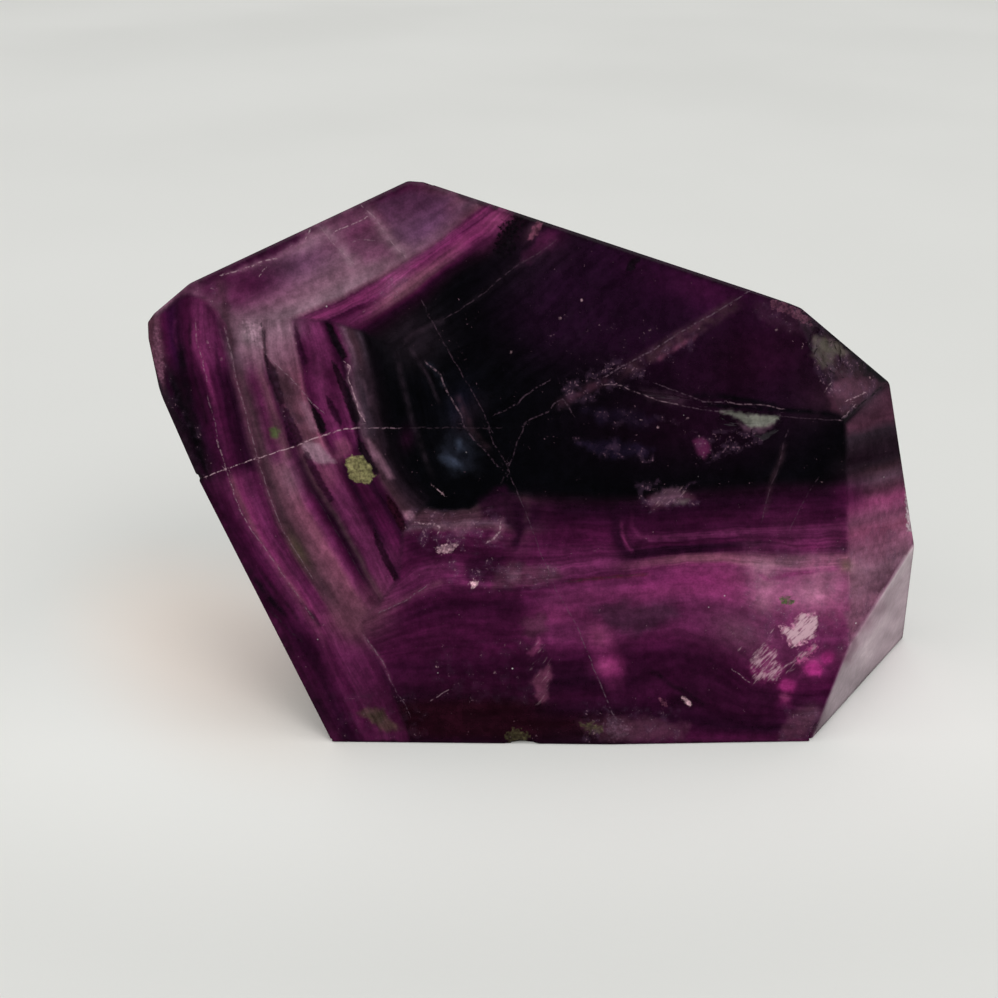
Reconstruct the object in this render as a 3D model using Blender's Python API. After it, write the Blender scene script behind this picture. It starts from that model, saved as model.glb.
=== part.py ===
"""A polished, self-standing freeform of banded purple fluorite: one stone, ground flat on every side."""

import math

import bmesh
import bpy
from mathutils import Matrix, Vector, noise

MM = 0.001
ROUGH_BLOCK = 150.0  # side of the block that the facets are cut from, mm
SHORTEST_EDGE = 0.6  # corners nearer than this are ground into one, mm
EDGE_ROUNDING = 0.35  # width of the polisher's softened edges, mm
SOFTENED_ANGLE = 12.0  # edges flatter than this stay as they are, degrees
CHIP_ROUGHNESS = 0.45  # how uneven a chip is, as a share of its size
CHIP_LUMPS = 1.9  # lumps across half a chip
CHIP_DETAIL = 3  # times that a chip's ball is divided

# Each facet: the way it faces, in degrees round from the front (-Y) towards +X and in degrees up,
# and its distance in mm from the middle of the base.
FRONT_FACETS = {
    "front_left": (-1.0, 11.9, 16.5),
    "front_right": (1.6, 12.7, 16.7),
    "front_upper": (-2.4, 20.1, 20.9),
    "shoulder": (1.8, 13.8, 17.4),
    "shoulder_corner": (41.7, 27.6, 39.2),
    "right_bevel": (45.0, 11.8, 33.5),
    "right_foot": (55.2, -9.5, 31.5),
    "left_tip": (-48.0, 10.0, 41.5),
}
SIDE_FACETS = {
    "left_flank": (-92.5, -25.4, 21.6),
    "left_tip_under": (-98.5, -18.9, 26.3),
    "left_tip_side": (-101.0, -2.8, 39.6),
    "left_tip_over": (-120.3, 43.3, 55.9),
    "top_left": (-125.6, 59.3, 56.2),
    "peak": (164.4, 72.7, 53.9),
    "top_right": (134.3, 64.0, 47.4),
    "corner_over": (117.9, 49.7, 47.6),
    "right_side": (97.4, 13.1, 42.5),
}
BACK_FACETS = {
    "back": (177.0, 3.0, 15.8),
    "back_upper": (-172.0, 24.0, 30.1),
    "back_left": (-132.0, -6.0, 28.4),
    "back_right": (130.0, 8.0, 36.7),
}
BASE_FACET = {"base": (180.0, -90.0, 0.0)}

# Each chip: its middle in mm, its half sizes across, deep and tall in mm, the way it faces as for the
# facets, and its turn in degrees within the facet.
CHIPS = {
    "toe_notch": ((-3.8, -16.8, 0.0), (1.8, 0.7, 0.6), (-1.0, 12.0), 0.0),
    "heel_corner": ((28.2, -16.1, 0.6), (0.9, 0.7, 1.5), (28.0, 0.0), 12.0),
    "shoulder_pit": ((19.7, -8.6, 34.9), (3.3, 0.45, 0.9), (1.7, 13.0), 3.0),
    "shoulder_pit_tail": ((21.4, -8.8, 34.2), (1.7, 0.4, 1.1), (1.7, 13.0), -35.0),
    "shoulder_scar": ((10.6, -8.4, 37.4), (2.6, 0.2, 0.25), (1.7, 13.0), 8.0),
    "corner_patch": ((28.1, -5.5, 41.0), (2.1, 0.45, 1.7), (41.7, 27.6), 20.0),
    "corner_patch_top": ((26.4, -5.9, 42.7), (1.5, 0.3, 0.9), (41.7, 27.6), -30.0),
    "corner_patch_low": ((29.5, -5.4, 39.4), (1.3, 0.3, 0.8), (41.7, 27.6), 45.0),
    "right_edge": ((39.9, -2.2, 21.7), (0.8, 0.9, 2.1), (70.0, 12.0), -6.0),
    "left_edge_nick": ((-38.1, -10.1, 28.8), (0.6, 0.7, 0.5), (-45.0, 0.0), 0.0),
    "left_toe_nick": ((-25.2, -16.4, 0.1), (0.7, 0.7, 0.6), (-30.0, 0.0), 0.0),
    "peak_nick": ((-13.4, -0.3, 57.7), (0.8, 0.5, 0.4), (0.0, 45.0), 0.0),
    "back_edge": ((-12.0, 17.0, 0.0), (2.4, 0.8, 0.9), (177.0, 0.0), 0.0),
    "back_ridge": ((9.0, 14.3, 41.4), (1.8, 0.5, 1.0), (178.0, 14.0), 15.0),
}

STONE_COLOUR = (0.075, 0.012, 0.085)
STONE_ROUGHNESS = 0.1
STONE_METALLIC = 0.0
STONE_TRANSMISSION = 0.35
FLUORITE_IOR = 1.434


def clear_scene():
    for obj in list(bpy.data.objects):
        bpy.data.objects.remove(obj, do_unlink=True)


def facing(around, up):
    """The direction that lies this many degrees round from -Y towards +X, and this many degrees up."""
    around, up = math.radians(around), math.radians(up)
    return Vector((math.cos(up) * math.sin(around), -math.cos(up) * math.cos(around), math.sin(up)))


def cut_facet(stone, around, up, distance):
    """Grinds away all that lies beyond one facet and closes the cut."""
    normal = facing(around, up)
    everything = stone.verts[:] + stone.edges[:] + stone.faces[:]
    cut = bmesh.ops.bisect_plane(
        stone, geom=everything, dist=1e-7, plane_co=normal * distance * MM, plane_no=normal, clear_outer=True
    )
    rim = [item for item in cut["geom_cut"] if isinstance(item, bmesh.types.BMEdge)]
    bmesh.ops.edgeloop_fill(stone, edges=rim)


def faceted_block():
    stone = bmesh.new()
    bmesh.ops.create_cube(stone, size=ROUGH_BLOCK * MM)
    for facets in (BASE_FACET, FRONT_FACETS, SIDE_FACETS, BACK_FACETS):
        for around, up, distance in facets.values():
            cut_facet(stone, around, up, distance)
    bmesh.ops.remove_doubles(stone, verts=stone.verts, dist=SHORTEST_EDGE * MM)
    bmesh.ops.recalc_face_normals(stone, faces=stone.faces)
    return stone


def centre_on_base(stone):
    """Moves the stone so that the middle of its box's underside is the origin."""
    spans = [(min(values), max(values)) for values in zip(*(vert.co for vert in stone.verts))]
    middle = Vector(((spans[0][0] + spans[0][1]) / 2, (spans[1][0] + spans[1][1]) / 2, spans[2][0]))
    bmesh.ops.translate(stone, verts=stone.verts, vec=-middle)
    return middle


def add_chip(cutters, seed, middle, half_sizes, face, turn):
    """One shell-shaped bite: a flattened, slightly uneven ball that faces out of its facet."""
    ball = bmesh.ops.create_icosphere(cutters, subdivisions=CHIP_DETAIL, radius=1.0)["verts"]
    for vert in ball:
        bump = noise.noise(vert.co * CHIP_LUMPS + Vector((7.0 * seed, 0.0, 0.0)))
        vert.co *= 1.0 + CHIP_ROUGHNESS * bump
    outward = facing(*face)
    up = (Vector((0.0, 0.0, 1.0)) - outward * outward.z).normalized()
    axes = Matrix((up.cross(outward), -outward, up)).transposed().to_4x4()
    place = Matrix.Translation(Vector(middle) * MM) @ axes @ Matrix.Rotation(math.radians(turn), 4, "Y")
    bmesh.ops.transform(cutters, verts=ball, matrix=place @ Matrix.Diagonal((*(Vector(half_sizes) * MM), 1.0)))


def chip_cutters(shift):
    cutters = bmesh.new()
    for seed, (middle, half_sizes, face, turn) in enumerate(CHIPS.values()):
        add_chip(cutters, seed, middle, half_sizes, face, turn)
    bmesh.ops.recalc_face_normals(cutters, faces=cutters.faces)
    bmesh.ops.translate(cutters, verts=cutters.verts, vec=-shift)
    return cutters


def to_object(name, geometry):
    mesh = bpy.data.meshes.new(name)
    geometry.to_mesh(mesh)
    geometry.free()
    obj = bpy.data.objects.new(name, mesh)
    bpy.context.scene.collection.objects.link(obj)
    return obj


def fluorite_material():
    material = bpy.data.materials.new("fluorite")
    material.use_nodes = True
    shader = material.node_tree.nodes["Principled BSDF"]
    shader.inputs["Base Color"].default_value = (*STONE_COLOUR, 1.0)
    shader.inputs["Roughness"].default_value = STONE_ROUGHNESS
    shader.inputs["Metallic"].default_value = STONE_METALLIC
    shader.inputs["Transmission Weight"].default_value = STONE_TRANSMISSION
    shader.inputs["IOR"].default_value = FLUORITE_IOR
    material.diffuse_color = (*STONE_COLOUR, 1.0)
    return material


def soften_edges(obj):
    bevel = obj.modifiers.new("soft_edges", "BEVEL")
    bevel.width = EDGE_ROUNDING * MM
    bevel.segments = 2
    bevel.limit_method = "ANGLE"
    bevel.angle_limit = math.radians(SOFTENED_ANGLE)
    bevel.harden_normals = False


def knock_chips(obj, shift):
    cutters = to_object("chip_cutters", chip_cutters(shift))
    cutters.hide_render = True
    cutters.display_type = "WIRE"
    chips = obj.modifiers.new("chips", "BOOLEAN")
    chips.operation = "DIFFERENCE"
    chips.solver = "EXACT"
    chips.use_self = True
    chips.object = cutters


def build_stone():
    block = faceted_block()
    shift = centre_on_base(block)
    stone = to_object("fluorite_stone", block)
    stone.data.materials.append(fluorite_material())
    soften_edges(stone)
    knock_chips(stone, shift)
    return stone


clear_scene()
build_stone()
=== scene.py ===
"""Dresses the polished fluorite freeform: a dark purple stone whose growth zones turn
sharp corners around a black heart. Lengths are in metres, with Z up."""

import math

import bmesh
import bpy
import numpy as np
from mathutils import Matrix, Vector
from mathutils.geometry import delaunay_2d_cdt


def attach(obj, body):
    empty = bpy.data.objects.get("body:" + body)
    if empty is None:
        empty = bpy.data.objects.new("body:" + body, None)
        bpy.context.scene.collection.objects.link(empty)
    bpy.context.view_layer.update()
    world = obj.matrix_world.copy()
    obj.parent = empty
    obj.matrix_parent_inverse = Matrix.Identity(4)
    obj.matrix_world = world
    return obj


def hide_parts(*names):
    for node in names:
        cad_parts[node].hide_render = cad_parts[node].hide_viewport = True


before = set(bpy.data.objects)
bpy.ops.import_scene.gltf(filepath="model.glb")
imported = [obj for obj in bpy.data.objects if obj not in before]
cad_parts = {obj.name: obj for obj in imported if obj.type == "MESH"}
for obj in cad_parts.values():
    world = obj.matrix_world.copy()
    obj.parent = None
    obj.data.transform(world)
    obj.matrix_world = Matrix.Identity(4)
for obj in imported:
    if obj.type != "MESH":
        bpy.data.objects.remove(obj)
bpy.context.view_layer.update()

NODE = "fluorite_stone"

# ---- the view, which also fixes the chart that the zoning is drawn on ----
EYE = (-0.00636, -0.15519, 0.09415)
VIEW_DOWN = 25.03
LENS = 54.72
SENSOR = 36.0
CHART_SIZE = 998.0
CHART_MIDDLE = CHART_SIZE / 2
CHART_FOCUS = CHART_SIZE * LENS / SENSOR

# ---- the fine mesh ----
SEEN_SPACING = 2.25
HIDDEN_SPACING = 0.00062
BASE_SPACING = 0.002
LEAST_FACING = 0.4
FLAT_ANGLE = math.radians(0.4)
SHARP_ANGLE = math.radians(32)
BOW = 0.0002
RIM_GAP = 0.55

# ---- the studio ----
FLOOR_SIZE = 6.0
# A painted warm tint on the floor left of the stone, for light that passes through the stone into its
# shadow.
SHADOW_TINT_PLACE = (-0.041, 0.004, 0.0)
SHADOW_TINT_TURN = math.radians(-58.0)
SHADOW_TINT_REACH = (0.03, 0.016, 1.0)
# A painted pool of light: the floor is painted lighter around the stone, to cancel the shade the stone casts
# there.
LIGHT_POOL_PLACE = (-0.006, -0.012, 0.0)
LIGHT_POOL_REACH = (0.075, 0.036, 1.0)
FLOOR_SHADES = ((0.765, 0.77, 0.745, 1.0), (0.80, 0.805, 0.785, 1.0))
LIGHT_POOL_COLOUR = (0.97, 0.97, 0.945, 1.0)
LIGHT_POOL_FADE = (0.3, 1.2, 1.0, 0.1)
SHADOW_TINT_COLOUR = (0.96, 0.84, 0.75, 1.0)
SHADOW_TINT_FADE = (0.2, 1.3, 0.7, 0.0)
WORLD_LIGHT = 0.84
WORLD_COLOUR = (1.0, 1.0, 0.99, 1.0)
CEILING = (0.45, 0.8, 0.0, 0.75)
WINDOWS = (0.72, 0.86, 0.0, 0.16)
WINDOW_RISE = (0.05, 0.15)
ROOM_LIGHT = 0.015
LIGHT_BOUNCES = 6
KEY_PLACE = (0.22, -0.42, 0.52)
KEY_SIZE = 0.3
KEY_POWER = 0.75

# ---- painting. Lengths are in chart units ----
PAINT_GAIN = 1.02
HAIR_REACH = 3.8
HAIR_FADE = 2.8
HAIR_WAVER = 1.2
SHARD_REACH = 6.0
HIDDEN_DRIFT = 26.0
HIDDEN_DRIFT_SCALE = 60.0
FAR_AWAY = 3000
LEVEL_PAST_LAST = 40.0
BAND_WAVER = 1.4
BAND_GRAIN = 13.0
CLOUD_GRAIN = 24.0
CLOUD_DEPTH = 0.2
NEAR_MARGIN = 12.0
STROKE_GRAIN = 9.0
STROKE_WEAR_GRAIN = 5.0
STROKE_ENDS = (-0.02, 0.12)
SOFT_EDGE = 16.0
CRISP_EDGE = 3.0
FOOT_EDGE = 4.0
SIDE_END = (6.0, 6.5)
TOP_END = (3.0, 3.5)
FOOT_START = (0.0, 0.35)
OUTER_SIDE_RIM = 3.0
BEVEL_RIM = 3.5
SOLE_RIM = 2.0
BEVEL_WAVER = 2.5
BEVEL_GRAIN = 20.0
SOLE_STREAKS = (9.0, 120.0, 52.0)
SOLE_STREAK_SPAN = (-0.6, 0.8)
DUST_RIM = (6.0, 8.0, 12.0)
FIBRE_RIM = (3.0, 4.0, 6.0)
TURNED_AWAY = (0.0, 0.1)

# ---- rows and columns where one run's inks give way to the next's ----
SIDE_MIDDLE_ROWS = (350, 385)
SIDE_LOWEST_ROWS = (545, 590)
SIDE_LOWEST_SLOPE = 0.2
CRACK_START = (202, 478)
CRACK_SLOPE = 0.25
CRACK_SOFT = (-4, 12)
TOP_MIDDLE_COLUMNS = (350, 400)
TOP_FAR_COLUMNS = (430, 480)
FOOT_MIDDLE_COLUMNS = (510, 560)
FOOT_RIGHT_COLUMNS = (600, 660)
CRISP_COLUMNS = (282.0, 300.0)
BEVEL_START = 870
BEVEL_SLOPE = 0.27
SOLE_SLOPE = 1.2
SOLE_MIST_START = 210.0
SOLE_MIST_SOFT = (-40.0, 60.0)

# ---- streaks: how far a level is drawn out, and an offset that keeps the runs apart ----
SIDE_STREAKS = 25.0
TOP_STREAKS = 20.0
TOP_OFFSET = 200.0
FOOT_STREAKS = 34.0
FOOT_OFFSET = 400.0
FACET_STREAKS = 0.3

# ---- the textures: scale along each axis, detail and seed ----
DUST_CLUMPS = ((1000.0,) * 3, 5.0, 19.0)
DUST_SPECKS = ((4300.0,) * 3, 2.0, 17.0)
THREAD_LINES = ((0.09, 0.42, 0.0), 5.0, 23.0)
THREAD_TUFTS = ((0.10, 0.16, 0.0), 3.0, 27.0)
WAVES = ((300.0,) * 3, 2.0, 31.0)
FLOOR_MOTTLE = ((7.0,) * 3, 4.0, 2.0)
FLOOR_GRAIN = ((900.0,) * 3, 3.0, 4.0)

# ---- textures with the range that they are spread over: from low to high, first to last ----
TEXTURES = {
    "shard_rim": ((0.24, 0.24, 0.0), 4.0, 41.0, (0.3, 0.7, -1.0, 1.0)),
    "shard_pits": ((0.3, 0.3, 0.0), 4.0, 43.0, (0.34, 0.6, 1.0, 0.0)),
    "ink_pits": ((2600.0,) * 3, 3.0, 47.0, (0.3, 0.7, 0.5, 1.45)),
    "fine_streaks": ((0.3, 0.016, 0.0), 4.0, 0.0, (0.3, 0.7, 0.8, 1.22)),
    "broad_streaks": ((0.12, 0.012, 0.0), 3.0, 7.0, (0.3, 0.7, 0.86, 1.16)),
    "mottle": ((1100.0,) * 3, 4.0, 3.0, (0.3, 0.7, 0.82, 1.2)),
    "grain": ((4600.0,) * 3, 2.0, 5.0, (0.25, 0.75, 0.88, 1.13)),
    "hair_gaps": ((0.27, 0.27, 0.0), 4.0, 11.0, (0.4, 0.6, 0.02, 0.9)),
    "smear": ((260.0,) * 3, 4.0, 29.0, (0.3, 0.7, 0.045, 0.11)),
}

# ---- the stone's surface ----
SHARD_RIM = (-1.6, 1.0)
RAG_PITS = (0.4, 3.0, 0.0, 0.75)
HAIR_RIM = (0.15, 1.15, 1.0, 0.0)
HAIR_COLOURS = ((0.0, 0.0, 0.001, 1.0), (0.13, 0.075, 0.11, 1.0), (0.64, 0.4, 0.47, 1.0))
HAZE_COLOUR = (0.11, 0.055, 0.11, 1.0)
HAZE_STRENGTH = 0.26
SPECK_COLOUR = (0.32, 0.17, 0.23, 1.0)
SPECK_STRENGTH = 0.34
THREAD_COLOUR = (0.58, 0.36, 0.43, 1.0)
THREAD_TURN = math.radians(45.0)
GLINT_COLOUR = (0.7, 0.62, 0.64, 1.0)
GLINT_SCALE = 620.0
DUST_LEVEL = 1.09
DUST_DROP = 0.17
FLUORITE_IOR = 1.434

# ---- inks, as red, green and blue from 0 to 255 ----
INK = {
    "ink": (5, 5, 8), "night": (12, 8, 13), "coal": (24, 8, 20), "maroon": (30, 7, 17),
    "dim_violet": (28, 9, 28), "blackberry": (33, 8, 28), "soot": (36, 24, 33), "violet": (47, 12, 45),
    "wine": (48, 11, 38), "flint": (48, 36, 46), "plum": (61, 15, 47), "rust": (58, 22, 22),
    "ash": (60, 38, 48), "damson": (73, 23, 57), "dusk": (74, 42, 58), "grape": (85, 31, 67),
    "smoke": (88, 62, 78), "dusty": (94, 56, 72), "magenta": (99, 38, 78), "orchid": (113, 42, 86),
    "mauve": (110, 70, 90), "rose": (118, 66, 88), "haze": (122, 86, 104), "fuchsia": (131, 46, 100),
    "pink": (146, 68, 110), "hot": (148, 42, 108), "pearl": (140, 108, 124), "blush": (176, 124, 146),
    "mist": (162, 148, 154), "rosewater": (206, 164, 176),
    "navy": (20, 20, 34), "indigo": (36, 26, 52), "steel": (32, 34, 46),
    "cloud": (50, 56, 72), "moss": (84, 88, 52), "leaf": (60, 84, 40), "celery": (126, 122, 82),
    "jade": (140, 146, 130), "olive": (78, 74, 50), "lichen": (88, 82, 74), "petal": (138, 84, 110),
    "heather": (84, 50, 80), "pale": (192, 171, 180),
    "veil": (218, 199, 206),
}


def smooth_step(value, low, high):
    part = np.clip((value - low) / (high - low), 0.0, 1.0)
    return part * part * (3.0 - 2.0 * part)


def lattice_value(cell, seed):
    """A fixed random number from 0 to 1 for each whole-number cell."""
    mixed = np.full(len(cell), seed * 374761393 + 668265263, np.int64)
    for column, prime in zip(cell.T, (73856093, 19349663, 83492791)):
        mixed ^= column * prime
    mixed = ((mixed ^ (mixed >> 13)) * 1274126177) & 0x7FFFFFFF
    mixed = ((mixed ^ (mixed >> 15)) * 2246822519) & 0x7FFFFFFF
    return ((mixed ^ (mixed >> 12)) & 0xFFFF) / 65535.0


def noise(points, seed=0):
    """Smooth noise from -1 to 1 at each row, which holds 2 or 3 numbers."""
    base = np.floor(points).astype(np.int64)
    part = points - base
    part = part * part * (3.0 - 2.0 * part)
    total = np.zeros(len(points))
    for corner in np.ndindex(*[2] * points.shape[1]):
        offset = np.array(corner)
        weight = np.prod(np.where(offset == 1, part, 1.0 - part), axis=1)
        total += weight * lattice_value(base + offset, seed)
    return 2.0 * total - 1.0


def rough_noise(points, octaves=3, seed=0):
    """Noise with finer noise laid over it."""
    total = np.zeros(len(points))
    for octave in range(octaves):
        total += noise(points * 2.0**octave, seed + octave) * 0.5**octave
    return total / (2.0 - 0.5 ** (octaves - 1))


def streaks(chart, across, along, turn, seed):
    """Noise drawn out along a direction, turned by so many degrees from the level."""
    cosine = math.cos(math.radians(turn))
    sine = math.sin(math.radians(turn))
    x = chart[:, 0] * cosine - chart[:, 1] * sine
    y = chart[:, 0] * sine + chart[:, 1] * cosine
    return rough_noise(np.stack([x / along, y / across], 1), 3, seed)


def along_line(chart, line):
    """Each point's signed distance to a polyline, how far along it that is, and its length."""
    best = np.full(len(chart), 1e9)
    along = np.zeros(len(chart))
    start = 0.0
    for here, there in zip(line[:-1], line[1:]):
        step = np.subtract(there, here).astype(float)
        length = math.hypot(*step)
        away = chart - here
        part = np.clip(away @ step / length**2, 0.0, 1.0)
        gap = np.hypot(*(away - part[:, None] * step).T)
        gap = np.where(step[0] * away[:, 1] < step[1] * away[:, 0], -gap, gap)
        nearer = np.abs(gap) < np.abs(best)
        best = np.where(nearer, gap, best)
        along = np.where(nearer, start + part * length, along)
        start += length
    return best, along, start


def inside(chart, ring):
    """True where a point is inside the closed ring."""
    x, y = chart.T
    odd = np.zeros(len(chart), bool)
    for (ax, ay), (bx, by) in zip(ring, ring[1:] + ring[:1]):
        if ay == by:
            continue
        crosses = (ay > y) != (by > y)
        odd ^= crosses & (x < ax + (y - ay) * (bx - ax) / (by - ay))
    return odd


def depth_in(chart, ring):
    """How far inside the ring each point is, and below zero outside it."""
    gap = np.abs(along_line(chart, ring + ring[:1])[0])
    return np.where(inside(chart, ring), gap, -gap)


def near_to(chart, line, margin):
    """True where a point is within the margin of the box around a line."""
    return np.all((chart > np.min(line, 0) - margin) & (chart < np.max(line, 0) + margin), axis=1)


def near_only(shape):
    """Works a shape's cover out only at the points that lie near it."""

    def cover(chart, line, reach, *rest):
        near = near_to(chart, line, 2.0 * reach + NEAR_MARGIN)
        amount = np.zeros(len(chart))
        if near.any():
            amount[near] = shape(chart[near], line, reach, *rest)
        return amount

    return cover


@near_only
def patch(chart, ring, feather, wobble=0.0, grain=8.0, seed=0):
    """Cover of a closed patch: 1 inside, fading over its uneven rim."""
    depth = depth_in(chart, ring)
    if wobble:
        depth = depth + wobble * rough_noise(chart / grain, 3, seed)
    return smooth_step(depth, -feather, feather)


@near_only
def stroke(chart, line, width, soft=1.0, wobble=0.0, seed=0):
    """Cover of a brush stroke along a polyline, thinner and fainter towards its ends."""
    if wobble:
        shift = [rough_noise(chart / STROKE_GRAIN, 2, seed + turn) for turn in (0, 50)]
        chart = chart + wobble * np.stack(shift, 1)
    gap, along, length = along_line(chart, line)
    ends = smooth_step(np.minimum(along, length - along) / length, *STROKE_ENDS)
    worn = 0.75 + 0.5 * noise(chart / STROKE_WEAR_GRAIN, seed + 9)
    return np.clip(ends * worn, 0.0, 1.0) * (1.0 - smooth_step(np.abs(gap), width / 2 - soft,
     width / 2 + soft))


def glow(chart, centre, radius, stretch=1.0, turn=0.0):
    """Cover of a soft round glow, or of an oval one turned by so many degrees."""
    cosine = math.cos(math.radians(turn))
    sine = math.sin(math.radians(turn))
    away = chart - np.asarray(centre, float)
    x = (away[:, 0] * cosine - away[:, 1] * sine) / stretch
    y = away[:, 0] * sine + away[:, 1] * cosine
    return np.exp(-(x * x + y * y) / radius**2)


def ink_of(name):
    return np.asarray(INK[name], float)


def even_coat(chart, name):
    """One ink at every point."""
    return np.tile(ink_of(name), (len(chart), 1))


def blend(below, colour, amount):
    """Lays an ink over the colours, as much as the amount says at each point."""
    return below + (ink_of(colour) - below) * amount[:, None]


def mix(first, second, amount):
    return first + (second - first) * amount[:, None]


def ramp(value, stops):
    """Colours along a list of (place, ink) stops."""
    places = [place for place, _ in stops]
    inks = np.array([INK[name] for _, name in stops], float)
    return np.stack([np.interp(value, places, inks[:, channel]) for channel in range(3)], 1)


def nested(chart, contours, far):
    """The number of contours that each point lies past, with the part of the way to the next one."""
    depths = [depth_in(chart, line + far) for line in contours]
    level = np.zeros(len(chart))
    for number, (outer, inner) in enumerate(zip(depths[:-1], depths[1:])):
        part = np.clip(outer / np.maximum(outer - inner, 1e-6), 0.0, 1.0)
        level = np.where(outer > 0, number + part, level)
    return np.where(depths[-1] > 0, len(contours) - 1 + depths[-1] / LEVEL_PAST_LAST, level)


def above(chart, line, soft):
    """1 on the upper side of a line, 0 below it, soft at the line."""
    ring = line + [(line[-1][0], -FAR_AWAY), (line[0][0], -FAR_AWAY)]
    return smooth_step(depth_in(chart, ring), -soft, soft)

# ---- the growth bands, in chart units. A contour is where one band starts ----
FAR_RIGHT = [(400, 3000), (3000, 3000), (3000, -2000), (200, -2000)]
FAR_TOP = [(3000, -1250), (3000, 3000), (-2000, 3000), (-2000, 1400)]
FAR_FOOT = [(3000, 480), (3000, 3000), (-2000, 3000), (-2000, 560)]

SIDE_CONTOURS = [
    [(140, 200), (153, 330), (163, 388), (202, 478), (335, 740), (400, 900)],
    [(196, 200), (196, 343), (205, 368), (214, 395), (217, 410), (223, 435), (235, 490), (249, 520),
     (265, 550), (287, 580), (303, 603), (316, 625), (380, 760)],
    [(222, 200), (222, 318), (228, 336), (231, 352), (237, 382), (243, 404), (255, 450), (267, 482),
     (279, 520), (296, 552), (313, 580), (329, 605), (400, 730)],
    [(262, 200), (264, 322), (265, 350), (270, 375), (280, 405), (287, 425), (295, 450), (305, 475),
     (314, 492), (333, 520), (350, 550), (366, 580), (380, 603), (440, 700)],
    [(294, 200), (294, 319), (297, 336), (301, 350), (306, 380), (312, 404), (322, 425), (334, 450),
     (344, 474), (353, 490), (369, 520), (386, 550), (397, 579), (440, 660)],
    [(326, 200), (327, 321), (333, 335), (340, 350), (346, 378), (350, 402), (356, 425), (363, 450),
     (370, 474), (379, 490), (396, 515), (404, 530), (440, 600)],
    [(362, 200), (363, 331), (370, 350), (377, 380), (381, 405), (386, 430), (391, 450), (400, 470),
     (412, 488), (428, 503), (460, 530)],
]
SIDE_UPPER = [
    (0.0, "dusty"), (0.12, "dusk"), (0.25, "plum"), (0.42, "violet"), (0.58, "blackberry"), (0.78, "plum"),
    (0.95, "magenta"), (1.2, "magenta"), (1.5, "grape"), (1.7, "damson"), (1.97, "smoke"), (2.12, "smoke"),
    (2.4, "haze"),
    (2.86, "haze"), (3.0, "dusty"), (3.14, "haze"), (3.85, "mauve"), (3.97, "plum"), (4.1, "plum"),
    (4.36, "grape"), (4.72, "grape"), (4.87, "wine"), (5.0, "blackberry"), (5.17, "damson"),
    (5.4, "smoke"), (5.6, "ash"), (5.83, "flint"), (6.0, "night"), (6.4, "ink"),
]
SIDE_MIDDLE = [
    (0.0, "soot"), (0.1, "blackberry"), (0.22, "night"), (0.36, "coal"), (0.5, "blackberry"),
    (0.65, "wine"), (0.82, "wine"),
    (0.97, "damson"), (1.12, "plum"), (1.3, "wine"), (1.7, "blackberry"), (1.97, "dusk"), (2.2, "ash"),
    (2.5, "grape"),
    (2.75, "dusty"), (2.95, "wine"), (3.16, "dusk"), (3.5, "dusty"), (3.8, "rose"), (3.97, "plum"),
    (4.1, "damson"), (4.36, "magenta"), (4.62, "plum"), (4.85, "grape"), (5.0, "blackberry"),
    (5.18, "smoke"), (5.45, "flint"), (5.8, "soot"), (6.0, "night"), (6.4, "ink"),
]
SIDE_LOWER = [
    (0.0, "plum"), (0.3, "wine"), (0.5, "plum"), (0.8, "grape"), (1.0, "rose"), (1.15, "orchid"),
    (1.45, "grape"), (1.75, "damson"), (1.95, "dusk"), (2.12, "ash"), (2.3, "dusty"), (2.6, "rose"),
    (2.75, "magenta"), (2.88, "plum"), (3.0, "blackberry"), (3.14, "ash"), (3.3, "grape"),
    (3.5, "magenta"), (3.8, "grape"), (3.93, "plum"), (4.05, "blackberry"), (4.3, "plum"),
    (4.6, "plum"), (4.88, "blackberry"), (5.05, "wine"), (5.3, "ash"), (5.7, "soot"), (6.0, "night"),
    (6.4, "ink"),
]

SIDE_LOWEST = [
    (0.0, "damson"), (0.2, "wine"), (0.45, "blackberry"), (0.7, "wine"), (0.9, "damson"), (1.1, "plum"),
    (1.4, "grape"),
    (1.7, "damson"), (2.0, "damson"), (2.3, "plum"), (2.6, "plum"), (3.0, "wine"), (3.6, "maroon"),
    (6.4, "maroon"),
]

TOP_CONTOURS = [
    [(60, 352), (193, 286), (410, 184), (600, 95)],
    [(100, 404), (294, 319), (320, 309), (340, 300), (357, 291), (379, 278), (400, 263), (422, 251),
     (444, 237), (465, 221), (484, 208), (560, 150)],
    [(100, 432), (327, 321), (348, 311), (366, 303), (380, 294), (400, 279), (430, 257), (460, 236),
     (490, 214), (560, 165)],
    [(100, 470), (363, 331), (378, 322), (400, 307), (422, 292), (443, 274), (480, 249), (494, 238),
     (512, 218), (560, 180)],
]
TOP_NEAR = [
    (0.0, "mauve"), (0.12, "haze"), (0.3, "mauve"), (0.5, "haze"), (0.72, "haze"), (0.93, "pearl"),
    (0.98, "mauve"), (1.05, "grape"), (1.5, "orchid"), (1.85, "magenta"), (1.97, "wine"), (2.1, "plum"),
    (2.35, "grape"), (2.7, "damson"), (2.9, "wine"), (3.0, "blackberry"), (3.3, "coal"), (3.6, "night"),
]
TOP_MIDDLE = [
    (0.0, "damson"), (0.2, "dusk"), (0.4, "mauve"), (0.6, "haze"), (0.8, "haze"), (0.95, "haze"),
    (1.02, "dusty"), (1.25, "magenta"), (1.6, "orchid"), (1.9, "fuchsia"), (2.05, "orchid"), (2.35, "rose"),
    (2.65, "dusty"), (2.85, "plum"), (3.0, "blackberry"), (3.2, "coal"), (3.5, "night"),
]
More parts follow.
